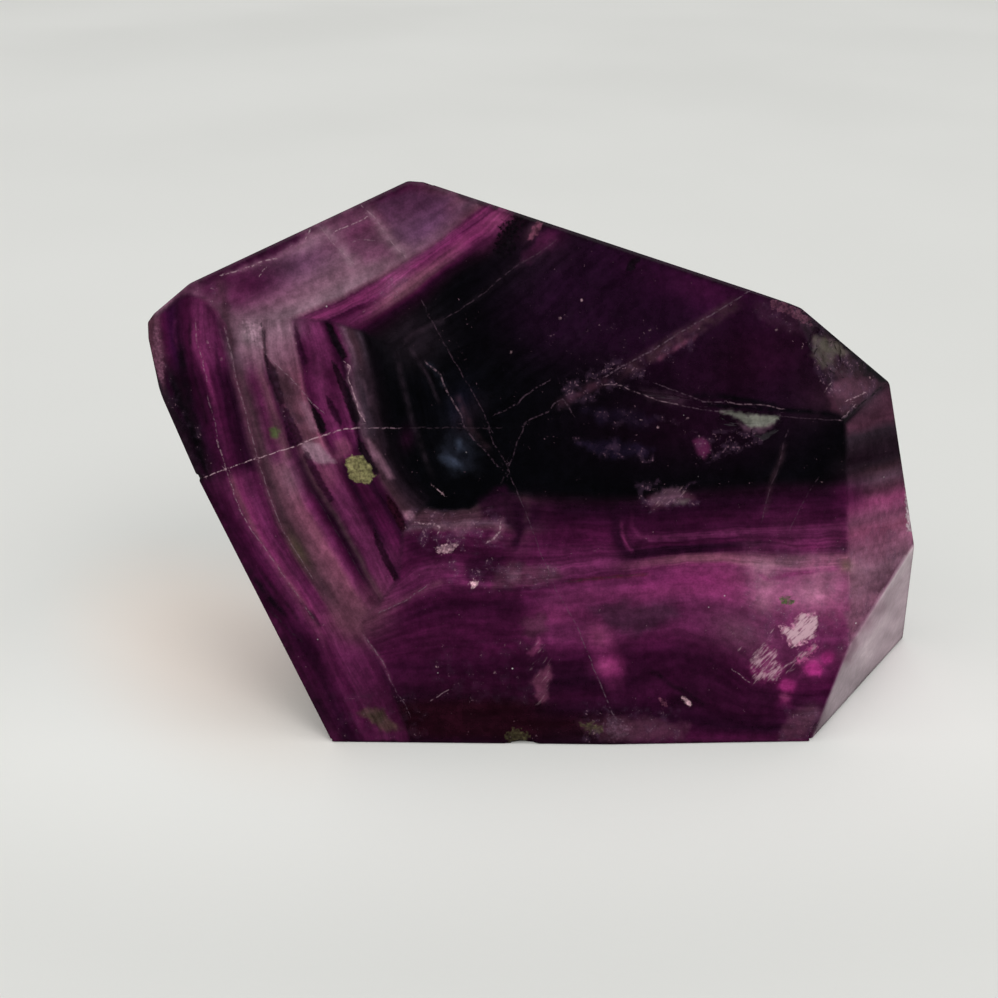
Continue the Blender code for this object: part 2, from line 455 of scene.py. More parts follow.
TOP_FAR = [
    (0.0, "dusk"), (0.3, "dusk"), (0.6, "dusty"), (0.8, "smoke"), (0.95, "dusty"), (1.0, "damson"),
    (1.3, "orchid"), (1.6, "grape"), (1.9, "plum"), (2.1, "orchid"), (2.45, "fuchsia"), (2.7, "damson"),
    (2.9, "wine"), (3.05, "coal"), (3.3, "night"),
]

FOOT_CONTOURS = [
    [(100, 520), (426, 503), (445, 508), (468, 506), (483, 496), (505, 488), (534, 489), (577, 489),
     (635, 489), (693, 481), (771, 475), (843, 474), (950, 470)],
    [(100, 560), (404, 529), (435, 525), (468, 522), (503, 524), (545, 529), (600, 531), (640, 531),
     (680, 530), (722, 527), (760, 526), (800, 524), (845, 520), (950, 508)],
    [(100, 650), (398, 579), (411, 565), (430, 560), (450, 558), (480, 562), (520, 562), (560, 560),
     (600, 555), (622, 556), (640, 553), (674, 549), (698, 547), (722, 547), (760, 543), (800, 548),
     (845, 546), (950, 536)],
    [(100, 720), (371, 619), (400, 604), (425, 592), (450, 587), (480, 589), (520, 588), (560, 583),
     (601, 578), (640, 574), (680, 568), (720, 567), (760, 576), (800, 575), (845, 570), (950, 560)],
    [(100, 740), (400, 654), (480, 650), (560, 650), (640, 646), (680, 641),
     (712, 652), (735, 668), (752, 684), (800, 692), (845, 690), (950, 690)],
    [(100, 745), (335, 742), (611, 743), (806, 743), (950, 743)],
]
FOOT_LEFT = [
    (0.0, "soot"), (0.3, "ash"), (0.8, "dusk"), (1.0, "smoke"), (1.1, "dusk"), (1.25, "damson"),
    (1.4, "damson"), (1.7, "plum"), (1.95, "plum"), (2.1, "damson"), (2.25, "grape"), (2.6, "grape"),
    (2.85, "magenta"),
    (3.0, "damson"), (3.12, "plum"), (3.25, "wine"), (3.6, "plum"), (3.85, "plum"), (4.0, "plum"),
    (4.15, "wine"), (4.35, "wine"), (4.5, "blackberry"), (4.6, "maroon"), (4.9, "maroon"),
    (5.0, "blackberry"),
]
FOOT_MIDDLE = [
    (0.0, "night"), (0.3, "coal"), (0.55, "blackberry"), (0.8, "wine"), (1.0, "plum"), (1.4, "plum"),
    (1.7, "damson"), (2.0, "damson"), (2.3, "magenta"), (2.7, "grape"), (2.95, "damson"), (3.0, "damson"),
    (3.2, "magenta"), (3.5, "orchid"), (3.65, "grape"), (3.8, "magenta"), (3.95, "damson"), (4.1, "wine"),
    (4.35, "blackberry"), (4.5, "wine"), (4.65, "blackberry"), (4.8, "maroon"), (5.0, "coal"),
]
FOOT_RIGHT = [
    (0.0, "night"), (0.2, "coal"), (0.5, "blackberry"), (0.85, "wine"), (1.0, "wine"), (1.12, "damson"),
    (1.3, "grape"), (1.5, "wine"), (1.75, "plum"), (1.9, "blackberry"), (2.05, "blackberry"), (2.2, "wine"),
    (2.42, "rose"), (2.65, "rose"), (2.85, "orchid"), (3.02, "orchid"), (3.15, "fuchsia"), (3.3, "orchid"),
    (3.45, "magenta"),
    (3.62, "grape"), (3.75, "grape"),
    (3.95, "plum"), (4.1, "wine"), (4.5, "wine"), (4.75, "blackberry"), (4.9, "plum"), (5.0, "damson"),
]
# The bevel's bands: the stone's own bands, with painted reflection of the room laid into them.
BEVEL_BANDS_AND_REFLECTION = [
    (385, "flint"), (397, "dusk"), (424, "dusk"), (434, "flint"), (445, "soot"), (458, "coal"),
    (464, "soot"), (471, "ash"),
    (481, "smoke"), (491, "dusk"), (503, "pink"), (518, "mauve"), (530, "rose"), (541, "petal"),
    (568, "haze"),
    (600, "mauve"), (640, "mauve"),
]

TOP_SIDE_EDGE = [(-2000, 318), (222, 318), (294, 319), (327, 321), (363, 331), (520, 420), (3000, 1200)]
SIDE_FOOT_EDGE = [(-2000, 2600), (400, 2000), (412, 742), (392, 690), (366, 640), (360, 620), (380, 603),
                  (398, 579),
                  (400, 560), (404, 529), (428, 503), (520, 400), (3000, -2000)]
OUTER_SIDE = [(140, 318), (157, 316), (177, 299), (187, 294), (199, 298), (211, 308), (220, 320),
              (226, 334),
              (226, 480), (140, 480)]
# RIGHT_BEVEL is where the bevel's bands lie, partly painted reflection. RIGHT_FOOT is the pale facet at the
# bevel's foot, painted pale as a painted reflection of the floor; FOOT_CALM holds back the streaks there.
RIGHT_BEVEL = [(889, 384), (846, 424), (850, 644), (913, 545), (960, 460), (960, 340)]
RIGHT_FOOT = [(913, 545), (850, 644), (812, 739), (809, 800), (1000, 800), (1000, 500)]
FOOT_CALM = 0.7

# ---- what lies in and on the stone, in chart units ----
# A glow is an ink, how much of it, its centre, radius, stretch and turn.
HEART_GLOWS = [
    ("violet", 1.0, (690, 285), 52, 1.9, -17), ("violet", 0.9, (620, 300), 50, 1.5, -25),
    ("plum", 0.6, (705, 290), 24, 2.2, -18), ("plum", 0.4, (620, 268), 20, 2.6, -18),
    ("dim_violet", 0.9, (590, 270), 40, 1.6, -20), ("dim_violet", 0.9, (560, 320), 42, 1.4, -15),
    ("blackberry", 0.9, (655, 345), 34, 1.6, -28), ("blackberry", 0.9, (740, 360), 46, 1.5, 0),
    ("maroon", 0.6, (770, 350), 28, 1.5, 0), ("violet", 0.4, (800, 385), 30, 1.4, 0),
    ("dusk", 0.45, (825, 395), 20, 1.4, 30), ("blackberry", 0.7, (690, 425), 40, 2.4, 0),
    ("flint", 0.5, (420, 345), 20, 1.6, 30), ("soot", 0.7, (395, 320), 20, 1.8, 30),
    ("navy", 0.8, (462, 405), 24, 0.6, -25), ("wine", 0.6, (405, 440), 14, 0.6, -20),
    ("soot", 0.5, (468, 415), 20, 0.6, -30), ("flint", 0.25, (545, 252), 22, 2.2, 35),
    ("dim_violet", 0.8, (640, 330), 40, 2.0, -10), ("violet", 0.35, (765, 330), 22, 1.6, 0),
]

GLOWS = [
    # the hot knobs and the crescent low on the front
    ("hot", 0.9, (813, 667), 7, 1.3, 20), ("hot", 0.75, (787, 685), 7, 1.2, 0),
    ("hot", 0.6, (785, 699), 6, 1.0, 0),
    ("hot", 0.7, (829, 656), 5, 1.2, 0), ("pink", 0.5, (812, 664), 5, 1.4, 20),
    ("damson", 0.8, (600, 616), 14, 1.8, 0),
    ("hot", 0.85, (610, 667), 11, 1.1, 0), ("rose", 0.7, (599, 636), 11, 1.2, -50),
    ("pink", 0.7, (606, 666), 7, 1.7, 0),
    # the veiled end of the foot's bands
    ("haze", 0.75, (796, 561), 10, 4.2, 5), ("blush", 0.65, (764, 572), 13, 2.0, -60),
    ("blush", 0.5, (763, 604), 10, 1.2, -50),
    ("fuchsia", 0.6, (790, 587), 14, 2.2, 10), ("blush", 0.45, (762, 588), 18, 1.0, 0),
    ("blush", 0.75, (817, 593), 20, 2.0, 0), ("blush", 0.5, (826, 572), 12, 2.0, 0),
    ("pink", 0.4, (820, 562), 10, 2.0, 5), ("dusty", 0.4, (850, 578), 9, 0.8, 0),
    ("mauve", 0.6, (740, 632), 18, 2.0, -20), ("pink", 0.45, (835, 610), 22, 0.7, 0),
    ("damson", 0.5, (840, 640), 12, 0.6, 0),
    ("damson", 0.5, (650, 622), 20, 1.8, 0), ("grape", 0.7, (688, 628), 14, 1.8, 0),
    ("hot", 0.6, (812, 546), 6, 3.2, 6),
    ("magenta", 0.7, (812, 540), 9, 3.6, 0), ("pink", 0.35, (738, 581), 8, 2.2, 0),
    ("orchid", 0.6, (786, 545), 5, 3.0, 0), ("orchid", 0.45, (600, 592), 9, 4.0, 3),
    ("grape", 0.6, (765, 550), 8, 3.4, 0), ("moss", 0.5, (846, 566), 6, 1.0, 0),
    ("plum", 0.5, (800, 506), 12, 2.6, 0),
    ("grape", 0.65, (790, 526), 13, 2.4, 0), ("coal", 0.7, (632, 554), 9, 1.8, 20),
    ("coal", 0.5, (622, 538), 11, 0.7, 0), ("plum", 0.4, (472, 577), 10, 1.4, 0),
    ("damson", 0.75, (656, 574), 13, 1.8, 0), ("plum", 0.4, (720, 518), 9, 3.6, 0),
    ("smoke", 0.5, (370, 456), 7, 1.6, -60), ("rose", 0.5, (338, 456), 8, 1.2, 0),
    ("wine", 0.7, (535, 514), 14, 1.8, 0), ("haze", 0.35, (548, 573), 8, 1.8, 0),
    ("dusk", 0.4, (520, 544), 14, 1.0, 0),
    ("maroon", 0.55, (470, 712), 28, 3.0, 0), ("smoke", 0.4, (628, 730), 11, 2.6, 0),
    ("smoke", 0.6, (808, 720), 12, 1.2, -30), ("haze", 0.5, (815, 712), 7, 1.2, -40),
    ("coal", 0.6, (684, 699), 10, 1.6, 30), ("blackberry", 0.75, (768, 356), 26, 1.7, 10),
    ("coal", 0.6, (804, 380), 16, 1.2, 60),
    # the bevel
    ("soot", 0.7, (886, 450), 11, 2.6, 10), ("plum", 0.85, (850, 496), 17, 1.0, 0),
    ("soot", 0.6, (850, 470), 14, 1.2, 0),
    ("pink", 0.5, (892, 504), 11, 1.2, 0), ("pink", 0.35, (868, 530), 20, 1.6, 20),
    ("petal", 0.55, (878, 550), 13, 1.4, 50),
    ("smoke", 0.6, (868, 400), 12, 1.6, 40),
    # the crown
    ("plum", 0.9, (254, 283), 21, 1.7, 15), ("plum", 0.6, (230, 276), 12, 1.6, 20),
    ("plum", 0.7, (208, 289), 10, 1.4, 25), ("wine", 0.8, (262, 252), 9, 3.6, 25),
    ("wine", 0.5, (215, 272), 6, 3.0, 25), ("grape", 0.6, (236, 300), 11, 1.5, 10),
    ("pearl", 1.0, (252, 331), 14, 0.9, -45), ("mist", 0.35, (249, 335), 9, 1.0, -45),
    ("pearl", 0.75, (282, 328), 15, 1.4, 0), ("heather", 0.6, (302, 262), 18, 2.2, 22),
    ("damson", 0.45, (352, 222), 12, 1.8, 22),
    ("damson", 0.4, (405, 208), 14, 2.0, 15), ("plum", 0.5, (430, 205), 16, 2.2, -18),
    ("heather", 0.75, (424, 228), 17, 1.8, 35),
    ("haze", 0.75, (397, 254), 13, 1.8, 30), ("haze", 0.5, (396, 284), 8, 2.6, 32),
    ("haze", 0.35, (372, 240), 12, 2.4, 30),
    ("grape", 0.6, (434, 256), 9, 2.4, 36), ("pink", 0.7, (500, 219), 11, 2.0, 39),
    ("grape", 0.55, (486, 246), 9, 1.8, 36),
    ("coal", 0.8, (516, 232), 10, 1.8, 60), ("mauve", 0.75, (533, 231), 5, 2.2, 50),
    ("wine", 0.8, (552, 236), 13, 1.6, 30),
    ("coal", 0.8, (634, 260), 5, 2.0, 60), ("plum", 0.7, (187, 318), 9, 0.8, 0),
    ("pearl", 0.45, (305, 244), 9, 1.8, 20),
    # the side
    ("wine", 0.5, (260, 554), 12, 2.0, -62), ("ash", 0.5, (277, 429), 8, 1.5, -70),
    ("haze", 0.45, (233, 322), 10, 1.2, 20),
    ("olive", 0.5, (298, 550), 6, 3.4, -60), ("grape", 0.6, (356, 654), 20, 1.5, -50),
    ("plum", 0.5, (315, 680), 16, 2.0, -62),
    ("coal", 0.6, (318, 715), 12, 2.0, -62), ("haze", 0.7, (290, 478), 12, 1.8, -70),
    ("rose", 0.75, (344, 622), 15, 1.4, -35),
    ("dusty", 0.75, (366, 618), 20, 1.3, 10), ("rose", 0.35, (372, 592), 16, 1.2, 30),
    ("magenta", 0.65, (390, 555), 12, 1.4, -60),
    ("rose", 0.65, (326, 474), 12, 1.5, -60), ("grape", 0.6, (337, 397), 10, 1.3, -70),
    ("grape", 0.6, (218, 484), 9, 1.8, -70),
]

# A fleck is an ink, how much of it, its rim, the softness and unevenness of the rim, and the grain of those.
FLECKS = [
    ("steel", 0.6, [(438, 446), (452, 434), (470, 438), (480, 456), (476, 470), (456, 474), (442, 464)], 9,
     6, 9),
    ("cloud", 0.9, [(440, 458), (448, 452), (456, 458), (462, 468), (452, 470)], 5, 4, 7),
    ("cloud", 0.8, [(454, 440), (460, 440), (463, 450), (458, 453)], 3, 3, 5),
    ("grape", 0.5, [(538, 236), (548, 228), (560, 240), (530, 262), (516, 266)], 4, 4, 6),
    ("dusk", 0.8, [(838, 376), (862, 372), (886, 384), (868, 396), (844, 418), (830, 412), (826, 396)], 4,
     5, 8),
    ("ash", 0.3, [(752, 296), (788, 306), (812, 316), (826, 332), (806, 334), (780, 330), (756, 318)], 5, 6,
     7),
    ("indigo", 0.5, [(576, 442), (612, 438), (652, 448), (648, 458), (600, 456)], 4, 5, 6),
    ("indigo", 0.35, [(580, 410), (620, 408), (660, 418), (650, 427), (600, 424)], 5, 5, 8),
    ("dusk", 0.7, [(648, 498), (664, 490), (684, 490), (694, 498), (668, 506), (652, 510)], 4, 4, 6),
    ("ash", 0.5, [(398, 505), (412, 512), (436, 516), (480, 510), (482, 520), (470, 524), (440, 530),
                  (412, 524)],
     3, 4, 6),
    ("blackberry", 0.8, [(480, 500), (496, 490), (512, 498), (540, 506), (540, 520), (518, 534), (500, 520),
                         (482, 520)], 5, 3, 6),
    ("blackberry", 0.6, [(466, 562), (486, 556), (502, 558), (500, 574), (484, 582), (468, 576)], 5, 4, 6),
    ("wine", 0.7, [(406, 532), (434, 530), (440, 544), (436, 556), (410, 558)], 4, 3, 6),
    ("coal", 0.7, [(368, 714), (382, 713), (384, 724), (374, 724)], 3, 3, 4),
    ("mauve", 0.7, [(844, 612), (852, 609), (858, 613), (853, 624), (847, 628)], 3, 3, 5),
    ("orchid", 0.62, [(693, 441), (701, 437), (709, 442), (710, 452), (704, 459), (697, 454)], 2.5, 2, 5),
    ("ash", 0.7, [(812, 338), (828, 334), (850, 354), (868, 372), (850, 380), (832, 376), (816, 364),
                  (820, 350)], 3, 3, 6),
    ("damson", 0.4, [(345, 232), (368, 222), (384, 244), (392, 256), (366, 262), (352, 252)], 6, 3, 8),
    ("heather", 0.55, [(376, 204), (410, 190), (450, 198), (440, 225), (414, 244), (400, 240), (388, 224)],
     6, 4, 9),
    ("dusk", 0.7, [(578, 722), (620, 716), (690, 724), (680, 740), (600, 740)], 4, 6, 8),
    ("dusk", 0.7, [(786, 718), (812, 706), (818, 712), (806, 740), (780, 740)], 4, 5, 8),
    ("flint", 0.45, [(590, 608), (640, 602), (676, 608), (680, 616), (640, 632), (610, 630)], 8, 8, 12),
    ("dusk", 0.7, [(152, 324), (158, 320), (163, 350), (165, 394), (158, 376), (152, 345)], 2.0, 1.0, 5),
    ("dusk", 0.6, [(522, 618), (544, 614), (548, 628), (534, 640), (524, 634)], 5, 4, 6),
    ("ash", 0.5, [(270, 364), (284, 372), (298, 385), (300, 400), (292, 412), (284, 402), (276, 384)], 3, 3,
     5),
    ("hot", 0.9, [(803, 668), (808, 661), (816, 662), (823, 668), (820, 675), (810, 676)], 2.5, 2, 5),
    ("hot", 0.7, [(820, 656), (826, 652), (833, 655), (832, 662), (824, 664)], 2.5, 2, 5),
    ("hot", 0.75, [(777, 688), (781, 681), (790, 680), (796, 685), (792, 692), (782, 691)], 2.5, 2, 5),
    ("pink", 0.6, [(780, 696), (786, 693), (791, 699), (785, 702)], 2.5, 2, 5),
    ("pearl", 0.9, [(301, 444), (312, 441), (322, 447), (336, 463), (320, 465), (306, 457)], 2.6, 2.5, 5),
    ("dusty", 0.6, [(286, 398), (296, 390), (306, 396), (313, 410), (320, 432), (308, 437), (298, 424)],
     3.5, 3, 6),
    ("haze", 0.6, [(300, 400), (308, 402), (315, 416), (318, 430), (310, 432), (304, 416)], 3, 2.5, 4),
    ("rose", 0.6, [(333, 441), (344, 437), (351, 445), (350, 454), (342, 456)], 3, 2, 5),
    ("haze", 0.75, [(364, 438), (369, 438), (378, 450), (387, 464), (394, 478), (388, 479), (378, 464),
                    (370, 452)], 2.2, 1.5, 5),
    ("blush", 0.5, [(402, 512), (409, 510), (415, 515), (414, 520), (405, 520)], 2.4, 2, 4),
    ("haze", 0.5, [(424, 524), (440, 522), (452, 526), (466, 520), (474, 522), (474, 529), (462, 538),
                   (452, 532), (436, 530)], 3, 3, 4),
    ("mauve", 0.6, [(496, 520), (503, 518), (505, 528), (499, 540), (488, 546), (484, 542), (494, 533)],
     2.6, 2, 4),
    ("smoke", 0.8, [(650, 502), (656, 493), (666, 489), (678, 489), (684, 496), (674, 503), (660, 506)], 3,
     3.5, 4),
    ("jade", 0.35, [(672, 505), (680, 499), (690, 500), (684, 505)], 2.4, 2, 4),
    ("smoke", 0.7, [(736, 421), (748, 426), (774, 424), (766, 431), (752, 435), (744, 430)], 2.6, 2.5, 4),
    ("lichen", 0.8, [(817, 343), (826, 338), (836, 341), (850, 352), (846, 357), (834, 352), (824, 352)],
     2.6, 3, 4),
    ("mauve", 0.5, [(834, 384), (848, 378), (862, 382), (868, 390), (852, 402), (838, 396)], 4, 4, 5),
    ("orchid", 0.75, [(748, 668), (758, 652), (768, 646), (777, 651), (776, 662), (788, 665), (776, 680),
                      (757, 682)], 3, 3, 5),
    ("blush", 0.2, [(762, 662), (770, 652), (776, 654), (774, 668), (766, 676)], 3, 3, 4),
    ("pink", 0.6, [(527, 653), (534, 647), (539, 638), (542, 643), (539, 651), (532, 656)], 2, 1.5, 4),
    ("rose", 0.55, [(530, 682), (537, 673), (549, 664), (552, 674), (549, 686), (548, 698), (542, 705),
                    (536, 697), (535, 687)], 2.6, 2.5, 4),
    ("olive", 0.55, [(358, 713), (370, 708), (384, 709), (390, 720), (402, 729), (386, 731), (371, 722)],
     2.6, 3, 4),
    ("dusk", 0.7, [(494, 572), (512, 562), (530, 566), (552, 568), (560, 578), (540, 586), (510, 588),
                   (494, 588)], 4, 4, 6),
    ("haze", 0.5, [(506, 572), (514, 568), (520, 572), (518, 580), (510, 582)], 3, 3, 4),
    ("jade", 0.7, [(720, 411), (732, 411), (752, 415), (781, 416), (774, 423), (760, 428), (750, 427),
                   (741, 421), (730, 416)], 2.2, 2.5, 4),
    ("leaf", 0.7, [(269, 430), (274, 426), (279, 431), (277, 438), (271, 438)], 2.2, 2.5, 4),
    ("lichen", 0.7, [(812, 336), (824, 336), (836, 348), (834, 362), (822, 370), (813, 356)], 3, 3, 5),
    ("fuchsia", 0.35, [(586, 627), (600, 624), (610, 632), (617, 645), (622, 660), (626, 674), (622, 688),
                       (608, 690),
                       (599, 676), (596, 660), (588, 644)], 6, 3, 6),
    ("smoke", 0.35, [(640, 388), (664, 391), (690, 398), (684, 406), (650, 400)], 4, 3, 5),
    ("damson", 0.7, [(402, 588), (420, 578), (445, 574), (462, 578), (452, 590), (424, 596)], 5, 4, 8),
]

# The pale scar low on the front, which is a shard with fibres over it.
SCAR = [(779, 625), (788, 628), (800, 615), (812, 612), (818, 616), (815, 635), (806, 642), (795, 648),
        (788, 643)]

# A shard has a sharp, ragged rim. It is an ink, how much of it, how ragged it is, and its rim.
SHARDS = [
    # the dark wedges between the bands at the side
    ("coal", 0.75, 0.7, [(264, 352), (269, 360), (275, 368), (280, 385), (285, 403), (280, 405), (274, 390),
                         (268, 374)]),
    ("blackberry", 0.8, 0.8, [(283, 405), (288, 410), (293, 420), (299, 432), (304, 441), (296, 445),
     (290, 447), (286, 432)]),
    ("night", 0.95, 0.7, [(309, 400), (314, 407), (320, 415), (325, 424), (326, 432), (320, 434),
                          (315, 420)]),
    ("night", 0.9, 0.7, [(325, 321), (331, 324), (336, 335), (342, 346), (347, 356), (343, 360), (337, 351),
                         (331, 340)]),
    ("night", 0.85, 0.7, [(331, 360), (336, 364), (343, 378), (349, 390), (355, 404), (360, 419),
                          (357, 424), (352, 421),
                          (347, 407), (341, 390), (335, 375)]),
    ("blackberry", 0.85, 0.7, [(325, 394), (331, 400), (337, 410), (342, 420), (341, 427), (334, 418),
     (329, 408)]),
    ("blackberry", 0.7, 0.7, [(294, 324), (298, 331), (302, 345), (308, 361), (304, 368), (299, 353),
     (295, 338)]),
    ("night", 0.85, 0.7, [(358, 438), (363, 443), (371, 458), (379, 473), (375, 475), (366, 462),
                          (359, 450)]),
    ("blackberry", 0.8, 0.7, [(304, 448), (308, 452), (320, 474), (334, 500), (330, 503), (316, 482),
     (304, 458)]),
    ("coal", 0.85, 0.7, [(374, 526), (380, 538), (390, 560), (399, 578), (394, 580), (384, 562),
                         (375, 542)]),
    ("maroon", 0.9, 0.7, [(386, 494), (394, 502), (402, 516), (408, 528), (402, 532), (394, 518),
                          (388, 506)]),
    # pale and rough spots at the side
    ("celery", 0.85, 1.2, [(345, 460), (352, 456), (362, 457), (370, 464), (375, 476), (369, 483),
                           (358, 482), (350, 478)]),
    ("pearl", 0.65, 1.4, [(242, 322), (261, 323), (263, 349), (252, 341), (244, 331)]),
    ("mauve", 0.7, 2.4, [(152, 330), (158, 326), (161, 350), (164, 376), (160, 384), (155, 362)]),
    # along the foot of the dark heart
    ("rosewater", 0.6, 2.0, [(436, 549), (442, 545), (450, 546), (458, 543), (456, 548), (448, 552),
                             (440, 553)]),
    ("rosewater", 0.9, 1.6, [(470, 584), (473, 580), (478, 582), (476, 587), (472, 588)]),
    # the crown
    ("night", 0.95, 4.0, [(516, 212), (522, 218), (520, 230), (516, 240), (512, 252), (503, 259),
                          (494, 256), (497, 244),
                          (499, 234), (503, 222), (511, 220)]),
    ("rose", 0.8, 1.6, [(528, 238), (533, 228), (538, 221), (543, 223), (538, 232), (532, 240)]),
    ("night", 0.85, 1.4, [(626, 270), (630, 261), (641, 257), (636, 265), (631, 272)]),
    # the pits at the shoulder and its broken edge
    ("dusty", 0.6, 3.2, [(768, 302), (780, 300), (790, 304), (801, 310), (808, 318), (813, 326), (803, 322),
                         (793, 317),
                         (786, 313), (773, 309)]),
    ("mist", 0.85, 1.4, [(905, 470), (912, 480), (914, 533), (908, 530), (906, 500)]),
    # scars and blooms along the foot
    ("blush", 0.68, 2.6, SCAR),
    ("pink", 0.7, 2.4, [(795, 660), (806, 651), (816, 642), (817, 650), (806, 660), (798, 666)]),
    ("leaf", 0.85, 2.2, [(780, 599), (787, 597), (794, 602), (790, 606), (783, 604)]),
    ("rosewater", 0.85, 1.2, [(682, 697), (686, 698), (692, 705), (688, 706)]),
    ("rose", 0.6, 2.0, [(660, 699), (668, 702), (664, 708)]),
    ("olive", 0.6, 2.4, [(505, 738), (512, 728), (518, 729), (530, 736), (524, 742), (508, 742)]),
    ("olive", 0.6, 2.4, [(580, 724), (592, 722), (602, 728), (600, 734), (590, 732)]),
    ("smoke", 0.6, 3.0, [(604, 724), (612, 716), (622, 722), (632, 730), (622, 738), (610, 740)]),
]

# A speck is a small bright point: a shard of one place, with a width.
SPECK = ("rosewater", 0.6, 1.0)
SPECK_WIDTH = 0.2
SPECKS = [
    (582, 300), (511, 352), (650, 330), (641, 420), (658, 427), (687, 418), (776, 329), (802, 348),
    (226, 331), (208, 342),
    (221, 359), (437, 667), (494, 672), (455, 570), (505, 645), (870, 377), (613, 735), (706, 632),
    (446, 546), (560, 318),
    (348, 366), (442, 493), (739, 506), (822, 482),
]

FIBRES = [
    (1.0, SCAR),
    (0.65, [(748, 667), (757, 651), (768, 645), (778, 650), (777, 660), (790, 665), (778, 681),
            (755, 683)]),
    (0.6, [(750, 658), (762, 642), (774, 627), (779, 631), (764, 649), (755, 660)]),
    (0.25, [(526, 655), (540, 636), (552, 664), (548, 700), (536, 704)]),
    (0.3, [(648, 506), (656, 491), (686, 487), (692, 497), (664, 508)]),
    (0.5, [(790, 662), (800, 650), (816, 640), (819, 648), (804, 662), (782, 678)]),
    (0.4, [(724, 622), (732, 626), (746, 652), (738, 652)]),
]

